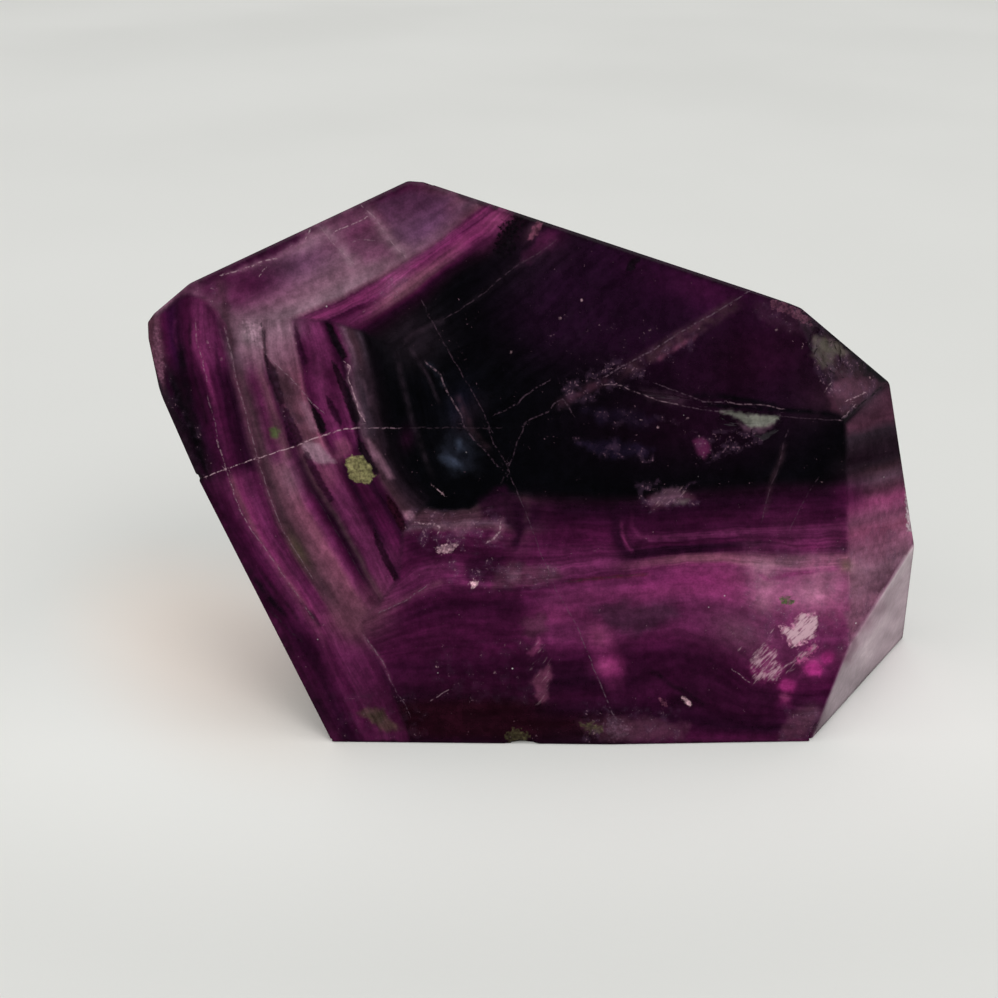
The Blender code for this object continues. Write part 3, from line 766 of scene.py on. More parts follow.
# A line is an ink, how much of it, its width, softness, unevenness and course.
LINES = [
    ("plum", 0.75, 13, 6, 1.0, [(200, 286), (232, 270), (262, 256), (292, 242), (308, 232)]),
    ("ash", 0.6, 11, 5, 1.0, [(218, 276), (222, 296), (226, 314), (231, 340), (235, 360)]),
    ("haze", 0.7, 5, 3, 1.2, [(218, 276), (240, 270), (260, 262), (276, 258), (300, 246), (325, 226)]),
    ("pearl", 0.6, 6, 3, 0.8, [(312, 224), (324, 228), (335, 240), (346, 256), (354, 270)]),
    ("pearl", 0.6, 6, 3, 0.8, [(362, 202), (376, 220), (388, 238), (402, 252), (406, 264)]),
    ("wine", 0.5, 5, 3, 0.8, [(180, 297), (190, 295), (202, 301), (213, 312), (221, 326), (226, 342)]),
    ("orchid", 0.7, 4, 2.5, 0.8, [(196, 320), (196, 345), (205, 372), (212, 395), (216, 415)]),
    ("soot", 0.75, 3.5, 2, 0.5, [(264, 322), (265, 345), (268, 370), (277, 398), (283, 416), (289, 432)]),
    ("ash", 0.7, 14, 7, 1.0, [(273, 372), (284, 392), (293, 410), (300, 428)]),
    ("smoke", 0.5, 5, 3, 0.8, [(338, 336), (350, 352), (358, 368), (366, 390), (374, 412)]),
    ("flint", 0.8, 5, 3, 0.8, [(446, 318), (430, 326), (412, 334), (404, 344)]),
    ("flint", 0.3, 7, 4, 0.8, [(560, 236), (541, 254), (520, 264), (500, 279), (480, 296), (462, 309)]),
    ("steel", 0.7, 5, 3, 0.8, [(425, 362), (433, 367), (440, 378), (444, 390)]),
    ("flint", 0.7, 3.0, 1.6, 0.5, [(408, 345), (418, 360), (428, 376), (434, 392), (442, 408)]),
    ("flint", 0.6, 5, 3, 0.5, [(396, 350), (404, 390), (412, 420), (424, 455), (434, 480)]),
    ("ash", 0.6, 6, 3, 0.9, [(456, 392), (464, 412), (474, 434), (492, 452)]),
    ("ash", 0.85, 14, 4, 1.2, [(744, 298), (716, 316), (680, 337), (650, 356), (612, 380)]),
    ("dusk", 0.7, 5, 3, 1.2, [(704, 322), (680, 338), (652, 356)]),
    ("dusk", 0.7, 9, 4, 0.8, [(612, 379), (590, 387), (572, 397), (556, 407)]),
    ("rose", 0.7, 4, 2.5, 0.9, [(700, 334), (684, 343), (668, 352), (656, 362)]),
    ("ink", 0.9, 4, 2, 0.4, [(700, 404), (750, 408), (810, 412), (842, 416)]),
    ("ink", 0.8, 5, 2.5, 0.6, [(690, 396), (720, 396), (750, 401), (780, 406)]),
    ("blackberry", 0.9, 8, 3, 0.8, [(492, 492), (504, 489), (514, 500), (519, 516), (518, 534),
     (513, 552)]),
    ("ash", 0.5, 5, 3, 0.6, [(524, 494), (528, 508), (526, 524)]),
    ("wine", 0.6, 9, 5, 0.9, [(482, 545), (474, 560), (472, 575)]),
    ("blackberry", 0.95, 10, 3, 0.5, [(628, 500), (617, 514), (616, 534), (623, 549), (642, 556)]),
    ("blackberry", 0.95, 7, 2.2, 0.5, [(636, 555), (654, 552), (680, 550), (700, 549), (726, 548)]),
    ("plum", 0.3, 6, 2.5, 0.5, [(710, 549), (740, 548), (768, 549), (794, 551), (812, 549)]),
    ("orchid", 0.8, 2.8, 1.4, 0.3, [(621, 520), (622, 534), (627, 546), (634, 553)]),
    ("magenta", 0.8, 3.6, 1.6, 0.3, [(632, 510), (632, 526), (638, 536), (650, 540), (690, 538),
     (752, 533)]),
    ("wine", 0.7, 3.0, 1.5, 0.3, [(638, 512), (638, 526), (645, 533), (662, 534), (700, 531), (752, 527)]),
    ("grape", 0.6, 4, 2, 0.4, [(752, 533), (790, 537), (820, 533), (845, 531)]),
    ("fuchsia", 0.6, 4, 2, 0.6, [(755, 572), (768, 579), (800, 573), (842, 568)]),
    ("rust", 0.6, 3, 1.4, 0.5, [(565, 582), (590, 579), (612, 577), (650, 574)]),
    ("ash", 0.55, 5, 3, 0.8, [(786, 440), (780, 462), (772, 480), (768, 500), (763, 520)]),
    ("coal", 0.8, 4, 2, 0.5, [(647, 669), (660, 676), (670, 684), (692, 696), (707, 708)]),
    ("mauve", 0.7, 3, 1.5, 0.5, [(362, 636), (370, 646), (380, 658), (388, 674), (392, 684)]),
    ("dusty", 0.6, 6, 4, 0.6, [(372, 618), (386, 611), (402, 602), (420, 592), (436, 584), (450, 580)]),
    ("blackberry", 0.7, 3.4, 2.0, 0.5, [(262, 596), (276, 618), (298, 640)]),
    ("night", 0.8, 8, 5, 0.6, [(172, 392), (182, 420), (192, 446), (200, 468)]),
    ("night", 0.75, 8, 4, 1.2, [(180, 338), (183, 368), (188, 400), (196, 436), (202, 466)]),
    ("coal", 0.6, 3, 1.6, 1.2, [(190, 318), (189, 346), (194, 376), (202, 404), (208, 432)]),
    ("orchid", 0.6, 3, 1.6, 1.2, [(199, 324), (199, 344), (206, 366), (210, 384)]),
    ("blackberry", 0.6, 3, 1.6, 1.2, [(214, 330), (218, 356), (222, 384), (228, 414), (236, 446)]),
    ("damson", 0.6, 2.5, 1.4, 1.2, [(206, 396), (212, 424), (220, 452), (226, 476)]),
    ("grape", 0.6, 3, 1.6, 1.0, [(176, 318), (174, 334), (178, 352)]),
    ("night", 0.8, 6, 3, 0.8, [(247, 566), (258, 584), (272, 602), (288, 618)]),
    ("coal", 0.7, 4, 2, 0.8, [(258, 568), (272, 586), (286, 604), (300, 622)]),
    ("pearl", 0.75, 2.6, 1.3, 1.0, [(344, 364), (350, 370), (348, 380), (355, 398), (362, 414),
     (365, 421)]),
    ("mauve", 0.5, 15, 9, 0.5, [(880, 596), (866, 618), (852, 640), (842, 666)]),
    ("wine", 0.6, 3.4, 2, 0.6, [(384, 610), (412, 601), (440, 594), (480, 591), (520, 589), (560, 586)]),
    ("dusk", 0.5, 4, 2.5, 1.0, [(218, 274), (222, 298), (227, 322), (233, 350)]),
    ("orchid", 0.55, 4, 2.5, 1.2, [(194, 298), (208, 304), (219, 316), (227, 334)]),
    ("wine", 0.7, 3, 1.6, 0.8, [(476, 541), (500, 548), (530, 546), (560, 544)]),
    ("magenta", 0.6, 6, 3, 0.6, [(222, 478), (240, 516), (262, 548), (286, 584), (306, 612), (322, 640)]),
    ("coal", 0.6, 4, 2, 0.6, [(300, 600), (312, 614), (322, 628)]),
    # The last four lines are painted shade: dark lines along the stone's outer edges and along its foot on
    # the floor.
    ("blackberry", 0.65, 7, 4, 0.3, [(410, 184), (360, 207), (300, 235), (240, 264), (193, 286),
     (157, 316)]),
    ("coal", 0.75, 5, 2.5, 0.2, [(428, 185), (520, 216), (620, 249), (749, 292), (788, 305)]),
    ("coal", 0.6, 8, 5, 0.3, [(167, 400), (202, 478), (240, 554), (290, 653), (335, 740)]),
    ("coal", 0.7, 4, 2, 0.2, [(335, 742), (470, 743), (611, 743), (806, 742)]),
]

# A hairline is its tone, from 0 for black to 1 for white, its half width, its strength and its course.
HAIRLINES = [
    (0.85, 0.8, 0.85, [(202, 478), (222, 471), (240, 464), (254, 459), (275, 453), (293, 447)]),
    (0.85, 1.1, 0.85, [(293, 447), (308, 441), (321, 436), (332, 432), (345, 429), (360, 428)]),
    (0.6, 1.0, 0.7, [(360, 428), (380, 428), (400, 428)]),
    (0.15, 1.1, 0.8, [(262, 322), (263, 338), (266, 354)]),
    (0.62, 0.8, 0.6, [(266, 354), (284, 372), (300, 388), (312, 404), (322, 412)]),
    (0.8, 1.1, 0.8, [(416, 522), (424, 524), (434, 524), (440, 527), (438, 533)]),
    (0.75, 1.2, 0.8, [(488, 542), (496, 536), (501, 530), (500, 525)]),
    (0.75, 1.0, 0.8, [(847, 401), (856, 396), (864, 392)]), (0.7, 0.8, 0.8,
     [(841, 419), (848, 412), (855, 405)]),
    (0.7, 0.8, 0.7, [(825, 392), (828, 387), (831, 384)]), (0.8, 0.8, 0.8, [(260, 275), (265, 269)]),
    (0.75, 0.8, 0.7, [(306, 238), (311, 229)]), (0.75, 0.8, 0.4,
     [(322, 228), (330, 240), (345, 255), (354, 264)]),
    (0.1, 1.0, 0.8, [(404, 428), (440, 428), (480, 428), (500, 428)]),
    (0.75, 1.1, 0.8, [(222, 275), (236, 271), (252, 266), (264, 261), (278, 258)]),
    (0.75, 0.9, 0.8, [(335, 231), (350, 225), (366, 218), (371, 216)]),
    (0.75, 0.8, 0.4, [(362, 206), (374, 217), (386, 234), (398, 250), (404, 256)]),
    (0.6, 0.9, 0.5, [(352, 242), (360, 239), (370, 240), (374, 241)]),
    (0.6, 0.8, 0.5, [(240, 326), (252, 340), (264, 352)]),
    (0.6, 1.0, 0.6, [(224, 326), (228, 338), (232, 358), (237, 382), (243, 404), (249, 427), (255, 450)]),
    (0.6, 0.9, 0.5, [(255, 450), (261, 470), (270, 498), (280, 524), (297, 553), (313, 579)]),
    (0.7, 0.8, 0.7, [(216, 440), (222, 456), (226, 470), (232, 486), (240, 510), (252, 530)]),
    (0.6, 0.8, 0.6, [(252, 530), (266, 550), (284, 576), (302, 602), (316, 623)]),
    (0.85, 0.8, 0.75, [(345, 362), (350, 366), (348, 378), (354, 396), (358, 410), (364, 420)]),
    (0.4, 0.9, 0.35, [(556, 240), (541, 252), (520, 264), (500, 279), (480, 296), (462, 309), (446, 318)]),
    (0.4, 0.9, 0.4, [(421, 300), (430, 318), (450, 354), (463, 377), (474, 395), (484, 412), (488, 424)]),
    (0.3, 1.0, 0.55, [(488, 424), (494, 444), (508, 467)]),
    (0.62, 1.1, 0.6, [(425, 362), (433, 367), (440, 375), (444, 386), (452, 400), (462, 418)]),
    (0.45, 1.0, 0.5, [(462, 418), (464, 427), (474, 440), (486, 452), (498, 466)]),
    (0.35, 0.9, 0.5, [(525, 424), (518, 440), (508, 468), (502, 482)]),
    (0.42, 1.0, 0.5, [(496, 414), (508, 409), (516, 405), (524, 396), (534, 389), (549, 381)]),
    (0.45, 1.0, 0.45, [(524, 424), (536, 417), (548, 411), (554, 404), (562, 399), (567, 404), (573, 415)]),
    (0.45, 1.1, 0.8, [(748, 292), (716, 312), (690, 327), (650, 351), (606, 376)]),
        (0.35, 0.7, 0.6, [(508, 468), (524, 508), (540, 550), (555, 589)]),
    (0.45, 0.8, 0.4, [(555, 589), (566, 606), (577, 627)]),
    (0.45, 0.9, 0.7, [(577, 627), (586, 648), (597, 675), (607, 700), (615, 718)]),
    (0.62, 0.9, 0.65, [(604, 384), (622, 386), (640, 394), (660, 401), (684, 406)]),
    (0.5, 0.9, 0.6, [(684, 406), (700, 409), (716, 411), (730, 414)]),
    (0.45, 0.9, 0.3, [(782, 416), (800, 418), (841, 421)]),
    (0.5, 0.9, 0.55, [(656, 383), (668, 389), (684, 394), (702, 401), (722, 402)]),
    (0.62, 0.9, 0.55, [(728, 402), (744, 404), (760, 404), (782, 409)]),
    # This black line along the crease between the front and the bevel is painted shade.
    (0.02, 1.1, 0.9, [(842, 421), (858, 407), (874, 393), (887, 383)]),
    (0.4, 0.8, 0.35, [(788, 430), (781, 456), (778, 470), (770, 486), (766, 500), (762, 520)]),
    (0.4, 0.8, 0.3, [(818, 478), (810, 490), (798, 512), (790, 530)]),
    (0.7, 0.8, 0.7, [(733, 670), (742, 678), (750, 683)]),
    (0.55, 0.9, 0.7, [(364, 636), (372, 646), (382, 660), (390, 680)]),
    (0.5, 0.8, 0.5, [(390, 680), (402, 700), (410, 714)]),
    (0.55, 0.9, 0.6, [(380, 612), (396, 605), (408, 599), (426, 586)]),
    (0.1, 0.8, 0.7, [(272, 612), (284, 626), (300, 640)]),
    (0.1, 0.8, 0.6, [(300, 602), (310, 612), (318, 624)]),
    (0.15, 0.8, 0.6, [(565, 582), (590, 579), (612, 577), (650, 574)]),
    (0.15, 0.8, 0.5, [(312, 492), (330, 520), (348, 552), (364, 580)]),
    (0.7, 0.7, 0.5, [(430, 702), (440, 696), (450, 689)]),
    (0.85, 0.8, 0.7, [(432, 485), (438, 490), (444, 495)]), (0.6, 0.8, 0.6,
     [(436, 548), (446, 545), (458, 542)]),
    (0.7, 0.8, 0.5, [(196, 322), (196, 342), (203, 362), (206, 380)]),
    (0.55, 0.8, 0.5, [(208, 396), (214, 420), (219, 446)]),
]

# Dust is how thick it lies and the rim of where it lies.
DUST = [
    (0.35, [(535, 326), (560, 308), (585, 300), (612, 300), (640, 326), (680, 326), (700, 345), (650, 372),
            (600, 376),
           (560, 352)]),
    (0.9, [(574, 438), (610, 434), (650, 446), (652, 460), (600, 458)]),
    (1.0, [(690, 430), (760, 428), (780, 440), (700, 462)]),
    (0.6, [(580, 408), (650, 404), (690, 415), (690, 430), (620, 428)]),
    (1.0, [(398, 498), (430, 514), (506, 510), (508, 548), (430, 556), (410, 530)]),
    (0.8, [(445, 560), (500, 560), (560, 566), (548, 592), (450, 592)]),
    (0.45, [(425, 650), (480, 640), (550, 632), (556, 706), (480, 710), (430, 690)]),
    (0.8, [(196, 284), (222, 280), (236, 300), (222, 318), (200, 296)]),
    (0.7, [(740, 552), (845, 548), (900, 500), (905, 560), (846, 650), (740, 640)]),
    (0.45, [(330, 690), (430, 690), (430, 742), (340, 742)]),
    (0.8, [(580, 700), (680, 712), (680, 742), (580, 742)]), (0.8,
     [(782, 700), (824, 700), (806, 742), (780, 742)]),
    (1.0, [(636, 482), (698, 482), (700, 506), (640, 514)]), (0.6,
     [(270, 370), (300, 380), (312, 430), (280, 420)]),
    (0.8, [(372, 284), (412, 262), (420, 282), (380, 308)]),
    (0.8, [(800, 300), (884, 384), (846, 418), (820, 380), (806, 330)]),
    (0.6, [(750, 300), (800, 308), (806, 336), (760, 330)]),
    (0.8, [(556, 380), (640, 350), (700, 322), (705, 340), (640, 384), (560, 410)]),
    (0.6, [(150, 324), (166, 350), (230, 500), (210, 490), (170, 400)]),
]
DUST_EVERYWHERE = 0.15

# ---- painting ----
def growth_bands(chart):
    """The three runs of bands: down the side, along the top and along the foot, with their levels."""
    x, y = chart.T
    waver = [BAND_WAVER * rough_noise(chart / BAND_GRAIN, 3, seed) for seed in (11, 21)]
    wavy = chart + np.stack(waver, 1)
    side_level = nested(wavy, SIDE_CONTOURS, FAR_RIGHT)
    crack = CRACK_START[1] - (x - CRACK_START[0]) * CRACK_SLOPE
    middle = smooth_step(y, *SIDE_MIDDLE_ROWS)
    side = mix(ramp(side_level, SIDE_UPPER), ramp(side_level, SIDE_MIDDLE), middle)
    side = mix(side, ramp(side_level, SIDE_LOWER), smooth_step(y - crack, *CRACK_SOFT))
    lowest = smooth_step(y - SIDE_LOWEST_SLOPE * x, *SIDE_LOWEST_ROWS)
    side = mix(side, ramp(side_level, SIDE_LOWEST), lowest)
    top_level = nested(wavy, TOP_CONTOURS, FAR_TOP)
    top = mix(ramp(top_level, TOP_NEAR), ramp(top_level, TOP_MIDDLE), smooth_step(x, *TOP_MIDDLE_COLUMNS))
    top = mix(top, ramp(top_level, TOP_FAR), smooth_step(x, *TOP_FAR_COLUMNS))
    foot_level = nested(wavy, FOOT_CONTOURS, FAR_FOOT)
    middle = smooth_step(x, *FOOT_MIDDLE_COLUMNS)
    foot = mix(ramp(foot_level, FOOT_LEFT), ramp(foot_level, FOOT_MIDDLE), middle)
    foot = mix(foot, ramp(foot_level, FOOT_RIGHT), smooth_step(x, *FOOT_RIGHT_COLUMNS))
    return (side, side_level), (top, top_level), (foot, foot_level)


def lay_glows(chart, colour, glows):
    for ink, amount, centre, radius, stretch, turn in glows:
        colour = blend(colour, ink, amount * glow(chart, centre, radius, stretch, turn))
    return colour


def dark_heart(chart):
    return lay_glows(chart, even_coat(chart, "ink"), HEART_GLOWS)


def end_facets(chart, colour, seen):
    """The bands on the bevel at the right, partly painted reflection, and the pale facet at its foot, which
    is a painted reflection of the floor.
    """
    x, y = chart.T
    waver = BEVEL_WAVER * rough_noise(chart / BEVEL_GRAIN, 3, 31)
    bands = ramp(y + BEVEL_SLOPE * (x - BEVEL_START) + waver, BEVEL_BANDS_AND_REFLECTION)
    colour = mix(colour, bands, seen * patch(chart, RIGHT_BEVEL, BEVEL_RIM))
    # The pale facet is painted pale, with stripes and mist, as a painted reflection of the floor.
    stripes = smooth_step(streaks(chart, *SOLE_STREAKS, 37), *SOLE_STREAK_SPAN)
    floor_reflection = blend(even_coat(chart, "veil"), "pale", 1.0 - stripes)
    floor_reflection = blend(floor_reflection, "mist", smooth_step(y - x + SOLE_MIST_START, *SOLE_MIST_SOFT))
    return mix(colour, floor_reflection, seen * patch(chart, RIGHT_FOOT, SOLE_RIM))


def marks(chart, colour):
    """Everything drawn over the bands."""
    colour = lay_glows(chart, colour, GLOWS)
    for seed, (ink, amount, ring, feather, wobble, grain) in enumerate(FLECKS):
        colour = blend(colour, ink, amount * patch(chart, ring, feather, wobble, grain, seed))
    for seed, (ink, amount, width, soft, wobble, line) in enumerate(LINES):
        colour = blend(colour, ink, amount * stroke(chart, line, width, soft, wobble, seed))
    return colour


def flow_of(chart, levels, up, low):
    """Places across and along the bands, for streaks that follow them."""
    x, y = chart.T
    side_level, top_level, foot_level = levels
    side = np.stack([SIDE_STREAKS * side_level, 0.9 * y + 0.4 * x], 1)
    top = np.stack([TOP_STREAKS * top_level + TOP_OFFSET, 0.84 * x - 0.55 * y], 1)
    foot = np.stack([FOOT_STREAKS * foot_level + FOOT_OFFSET, x], 1)
    flow = np.where((up > 0.5)[:, None], top, side)
    flow = np.where((low > 0.5)[:, None], foot, flow)
    for ring, slope in ((RIGHT_BEVEL, BEVEL_SLOPE), (RIGHT_FOOT, SOLE_SLOPE)):
        tilted = np.stack([FACET_STREAKS * (y + slope * x), x - slope * y], 1)
        flow = np.where(inside(chart, ring)[:, None], tilted, flow)
    return flow


def paint(chart, seen):
    """The colours of the stone on its chart, from 0 to 255, and the flow of its bands."""
    (side, side_level), (top, top_level), (foot, foot_level) = growth_bands(chart)
    soft = above(chart, TOP_SIDE_EDGE, SOFT_EDGE)
    crisp = above(chart, TOP_SIDE_EDGE, CRISP_EDGE)
    up = soft + (crisp - soft) * smooth_step(chart[:, 0], *CRISP_COLUMNS)
    up = up * (1.0 - patch(chart, OUTER_SIDE, OUTER_SIDE_RIM))
    low = 1.0 - above(chart, SIDE_FOOT_EDGE, FOOT_EDGE)
    colour = dark_heart(chart)
    colour = mix(colour, side, (1.0 - smooth_step(side_level, *SIDE_END)) * (1.0 - low) * (1.0 - up))
    colour = mix(colour, foot, low * smooth_step(foot_level, *FOOT_START))
    colour = mix(colour, top, up * (1.0 - smooth_step(top_level, *TOP_END)) * (1.0 - low))
    colour = end_facets(chart, colour, seen)
    colour = mix(colour, marks(chart, colour), seen)
    cloud = rough_noise(chart / CLOUD_GRAIN, 4, 71)
    flow = flow_of(chart, (side_level, top_level, foot_level), up, low)
    return colour * (1.0 + CLOUD_DEPTH * cloud)[:, None], flow


def hairlines(chart):
    """For each point: its place across the nearest hairline, that line's strength, and its tone."""
    found = np.zeros((len(chart), 3))
    nearest = np.full(len(chart), HAIR_REACH)
    for tone, half, strength, line in HAIRLINES:
        near = np.flatnonzero(near_to(chart, line, HAIR_REACH))
        shift = [HAIR_WAVER * rough_noise(chart[near] / STROKE_GRAIN, 2, seed) for seed in (81, 91)]
        gap = along_line(chart[near] + np.stack(shift, 1), line)[0]
        closer = np.abs(gap) < nearest[near]
        chosen = near[closer]
        gap = gap[closer]
        nearest[chosen] = np.abs(gap)
        fade = 1.0 - smooth_step(np.abs(gap), HAIR_FADE, HAIR_REACH)
        found[chosen] = np.stack([gap / half, strength * fade, np.full(len(gap), tone)], 1)
    return found


def dust_cover(chart):
    cover = np.full(len(chart), DUST_EVERYWHERE)
    for seed, (amount, ring) in enumerate(DUST):
        cover = np.maximum(cover, amount * patch(chart, ring, *DUST_RIM, seed))
    return cover


def fibre_cover(chart):
    cover = np.zeros(len(chart))
    for seed, (amount, ring) in enumerate(FIBRES):
        cover = np.maximum(cover, amount * patch(chart, ring, *FIBRE_RIM, seed))
    return cover


def shards(chart):
    """How deep each point lies in the nearest shard, with its strength and raggedness, and its ink."""
    found = np.zeros((len(chart), 3))
    found[:, 0] = -SHARD_REACH
    ink = np.zeros((len(chart), 3))
    shapes = SHARDS + [(*SPECK, [place]) for place in SPECKS]
    widths = [0.0] * len(SHARDS) + [SPECK_WIDTH] * len(SPECKS)
    for (name, amount, rag, ring), width in zip(shapes, widths):
        near = np.flatnonzero(near_to(chart, ring, SHARD_REACH))
        depth = width - np.hypot(*(chart[near] - ring[0]).T) if width else depth_in(chart[near], ring)
        deeper = depth > found[near, 0]
        chosen = near[deeper]
        kind = np.tile((amount, rag), (len(chosen), 1))
        found[chosen] = np.column_stack([depth[deeper], kind])
        ink[chosen] = ink_of(name)
    return found, ink


# ---- the chart and the stone ----
def to_chart(points):
    """Where points in metres fall on the chart."""
    down = math.radians(VIEW_DOWN)
    away = np.asarray(points, float) - EYE
    depth = away[:, 1] * math.cos(down) - away[:, 2] * math.sin(down)
    rise = away[:, 1] * math.sin(down) + away[:, 2] * math.cos(down)
    return CHART_MIDDLE + CHART_FOCUS * np.stack([away[:, 0] / depth, -rise / depth], 1)


def from_chart(chart, origin, normal):
    """The points of a plane that fall on these places of the chart."""
    down = math.radians(VIEW_DOWN)
    across, drop = (chart - CHART_MIDDLE).T / CHART_FOCUS
    ahead = math.cos(down) - drop * math.sin(down)
    ray = np.stack([across, ahead, -math.sin(down) - drop * math.cos(down)], 1)
    reach = (np.asarray(origin) - EYE) @ normal / (ray @ normal)
    return np.asarray(EYE) + ray * reach[:, None]


def lattice(low, high):
    """Points of a triangular grid over a box, one unit apart."""
    rows = np.arange(low[1], high[1], math.sqrt(0.75))
    x, y = np.meshgrid(np.arange(low[0], high[0]), rows)
    x = x + (np.arange(len(rows)) % 2)[:, None] * 0.5
    return np.stack([x.ravel(), y.ravel()], 1)


class Flat:
    """A face of the stone, with the flat map that its new points are laid out on."""

    def __init__(self, face):
        self.normal = np.array(face.normal)
        self.centre = np.array(face.calc_center_median())
        sight = np.asarray(EYE) - self.centre
        self.seen = sight @ self.normal / np.linalg.norm(sight) > LEAST_FACING
        self.spacing = SEEN_SPACING if self.seen else HIDDEN_SPACING
        if self.normal[2] < -0.9:
            self.spacing = BASE_SPACING
        self.turn = np.array([1.0, -1.0 if self.seen else 1.0])
        side = np.cross(self.normal, (0.0, 0.0, 1.0) if abs(self.normal[2]) < 0.9 else (1.0, 0.0, 0.0))
        self.side = side / np.linalg.norm(side)
        self.rise = np.cross(self.normal, self.side)

    def flatten(self, points):
        if self.seen:
            return to_chart(points)
        away = np.asarray(points) - self.centre
        return np.stack([away @ self.side, away @ self.rise], 1)

    def lift(self, places):
        if self.seen:
            return from_chart(places, self.centre, self.normal)
        return self.centre + places[:, :1] * self.side + places[:, 1:] * self.rise


def split_edge(edge, parts):
    """Cuts an edge into equal parts."""
    near, far = edge.verts
    for left in range(parts, 1, -1):
        other, middle = bmesh.utils.edge_split(edge, near, 1.0 / left)
        middle.tag = False
        edge = edge if far in edge.verts else other
        near = middle


def cut_edges(mesh):
    """Cuts every edge as finely as its faces ask, and leaves only the old corners tagged."""
    for vert in mesh.verts:
        vert.tag = True
    for edge in mesh.edges[:]:
        ends = [vert.co for vert in edge.verts]
        parts = 1
        for flat in [Flat(face) for face in edge.link_faces]:
            parts = max(parts, round(math.dist(*flat.flatten(ends)) / flat.spacing))
        split_edge(edge, parts)


def bowed(outline, corners):
    """The outline with each straight side bowed out by a hair, so that no three points are in line."""
    count = len(outline)
    bent = outline.copy()
    for position, first in enumerate(corners):
        last = corners[(position + 1) % len(corners)]
        steps = (last - first) % count
        side = outline[last] - outline[first]
        out = np.array([side[1], -side[0]]) / max(math.hypot(*side), 1e-9)
        for step in range(1, steps):
            part = step / steps
            bent[(first + step) % count] += out * BOW * steps**2 * part * (1.0 - part)
    return bent


def inner_points(outline):
    """New points inside a face, clear of its rim."""
    grid = lattice(outline.min(0), outline.max(0))
    return grid[depth_in(grid, outline.tolist()) > RIM_GAP]


def closes(triangles, ring):
    """Whether the triangles' open edges are exactly the ring."""
    open_edges = set()
    for corners in triangles:
        for pair in zip(corners, corners[1:] + corners[:1]):
            open_edges ^= {frozenset(pair)}
    return open_edges == {frozenset(pair) for pair in zip(ring, ring[1:] + ring[:1])}


def fill_face(face, points):
    """The triangles that cover a face, with new points inside it. None where they don't fit."""
    numbers = [vert.index for vert in face.verts]
    if len(numbers) == 3:
        return [numbers]
    flat = Flat(face)
    outline = flat.flatten([vert.co for vert in face.verts]) * flat.turn / flat.spacing
    middle = outline.mean(0)
    outline = outline - middle
    grid = inner_points(outline)
    rim = bowed(outline, [place for place, vert in enumerate(face.verts) if vert.tag])
    places = np.concatenate([rim, grid])
    found = delaunay_2d_cdt([Vector(place) for place in places], [], [list(range(len(rim)))], 1, 1e-7, True)
    found = np.array([[found[3][corner][0] for corner in corners] for corners in found[2]])
    found = found[inside(places[found].mean(1), rim.tolist())]
    keys = np.array(numbers + [len(points) + i for i in range(len(grid))])
    triangles = keys[found].tolist()
    if not closes(triangles, numbers):
        return None
    points.extend(flat.lift((grid + middle) * flat.turn * flat.spacing))
    return triangles


def fine_mesh():
    """The stone's own faces, covered in small triangles."""
    coarse = bmesh.new()
    coarse.from_mesh(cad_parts[NODE].data)
    bmesh.ops.remove_doubles(coarse, verts=coarse.verts[:], dist=1e-6)
    bmesh.ops.dissolve_limit(coarse, angle_limit=FLAT_ANGLE, verts=coarse.verts[:], edges=coarse.edges[:])
    cut_edges(coarse)
    coarse.verts.index_update()
    points = [np.array(vert.co) for vert in coarse.verts]
    triangles = []
    left = []
    for face in coarse.faces:
        found = fill_face(face, points)
        if found is None:
            left.append(face)
        else:
            triangles.extend(found)
    cut = bmesh.ops.triangulate(coarse, faces=left, quad_method="BEAUTY", ngon_method="BEAUTY")
    triangles.extend([vert.index for vert in face.verts] for face in cut["faces"])
    coarse.free()
    mesh = bpy.data.meshes.new("fluorite_skin")
    mesh.from_pydata([tuple(point) for point in points], [], triangles)
    mesh.update()
    return mesh


def facing_of(mesh, points):
    """How squarely each point of the mesh faces the eye, from -1 to 1."""
    normals = np.empty(len(points) * 3, np.float32)
    mesh.vertex_normals.foreach_get("vector", normals)
    sight = np.asarray(EYE) - points
    return (normals.reshape(-1, 3) * sight).sum(1) / np.linalg.norm(sight, axis=1)


def store(mesh, name, kind, values):
    """Keeps values on the points of the mesh, for the material to read."""
    field = {"FLOAT": "value", "FLOAT_VECTOR": "vector", "FLOAT_COLOR": "color"}[kind]
    layer = mesh.attributes.new(name, kind, "POINT")
    layer.data.foreach_set(field, np.ascontiguousarray(values, np.float32).ravel())


def to_paint(colour):
    """Colours from 0 to 255 as the linear colours of a paint."""
    part = np.clip(colour, 0.0, 255.0) / 255.0
    linear = np.where(part <= 0.04045, part / 12.92, ((part + 0.055) / 1.055) ** 2.4)
    return np.column_stack([linear * PAINT_GAIN, np.ones(len(colour))])


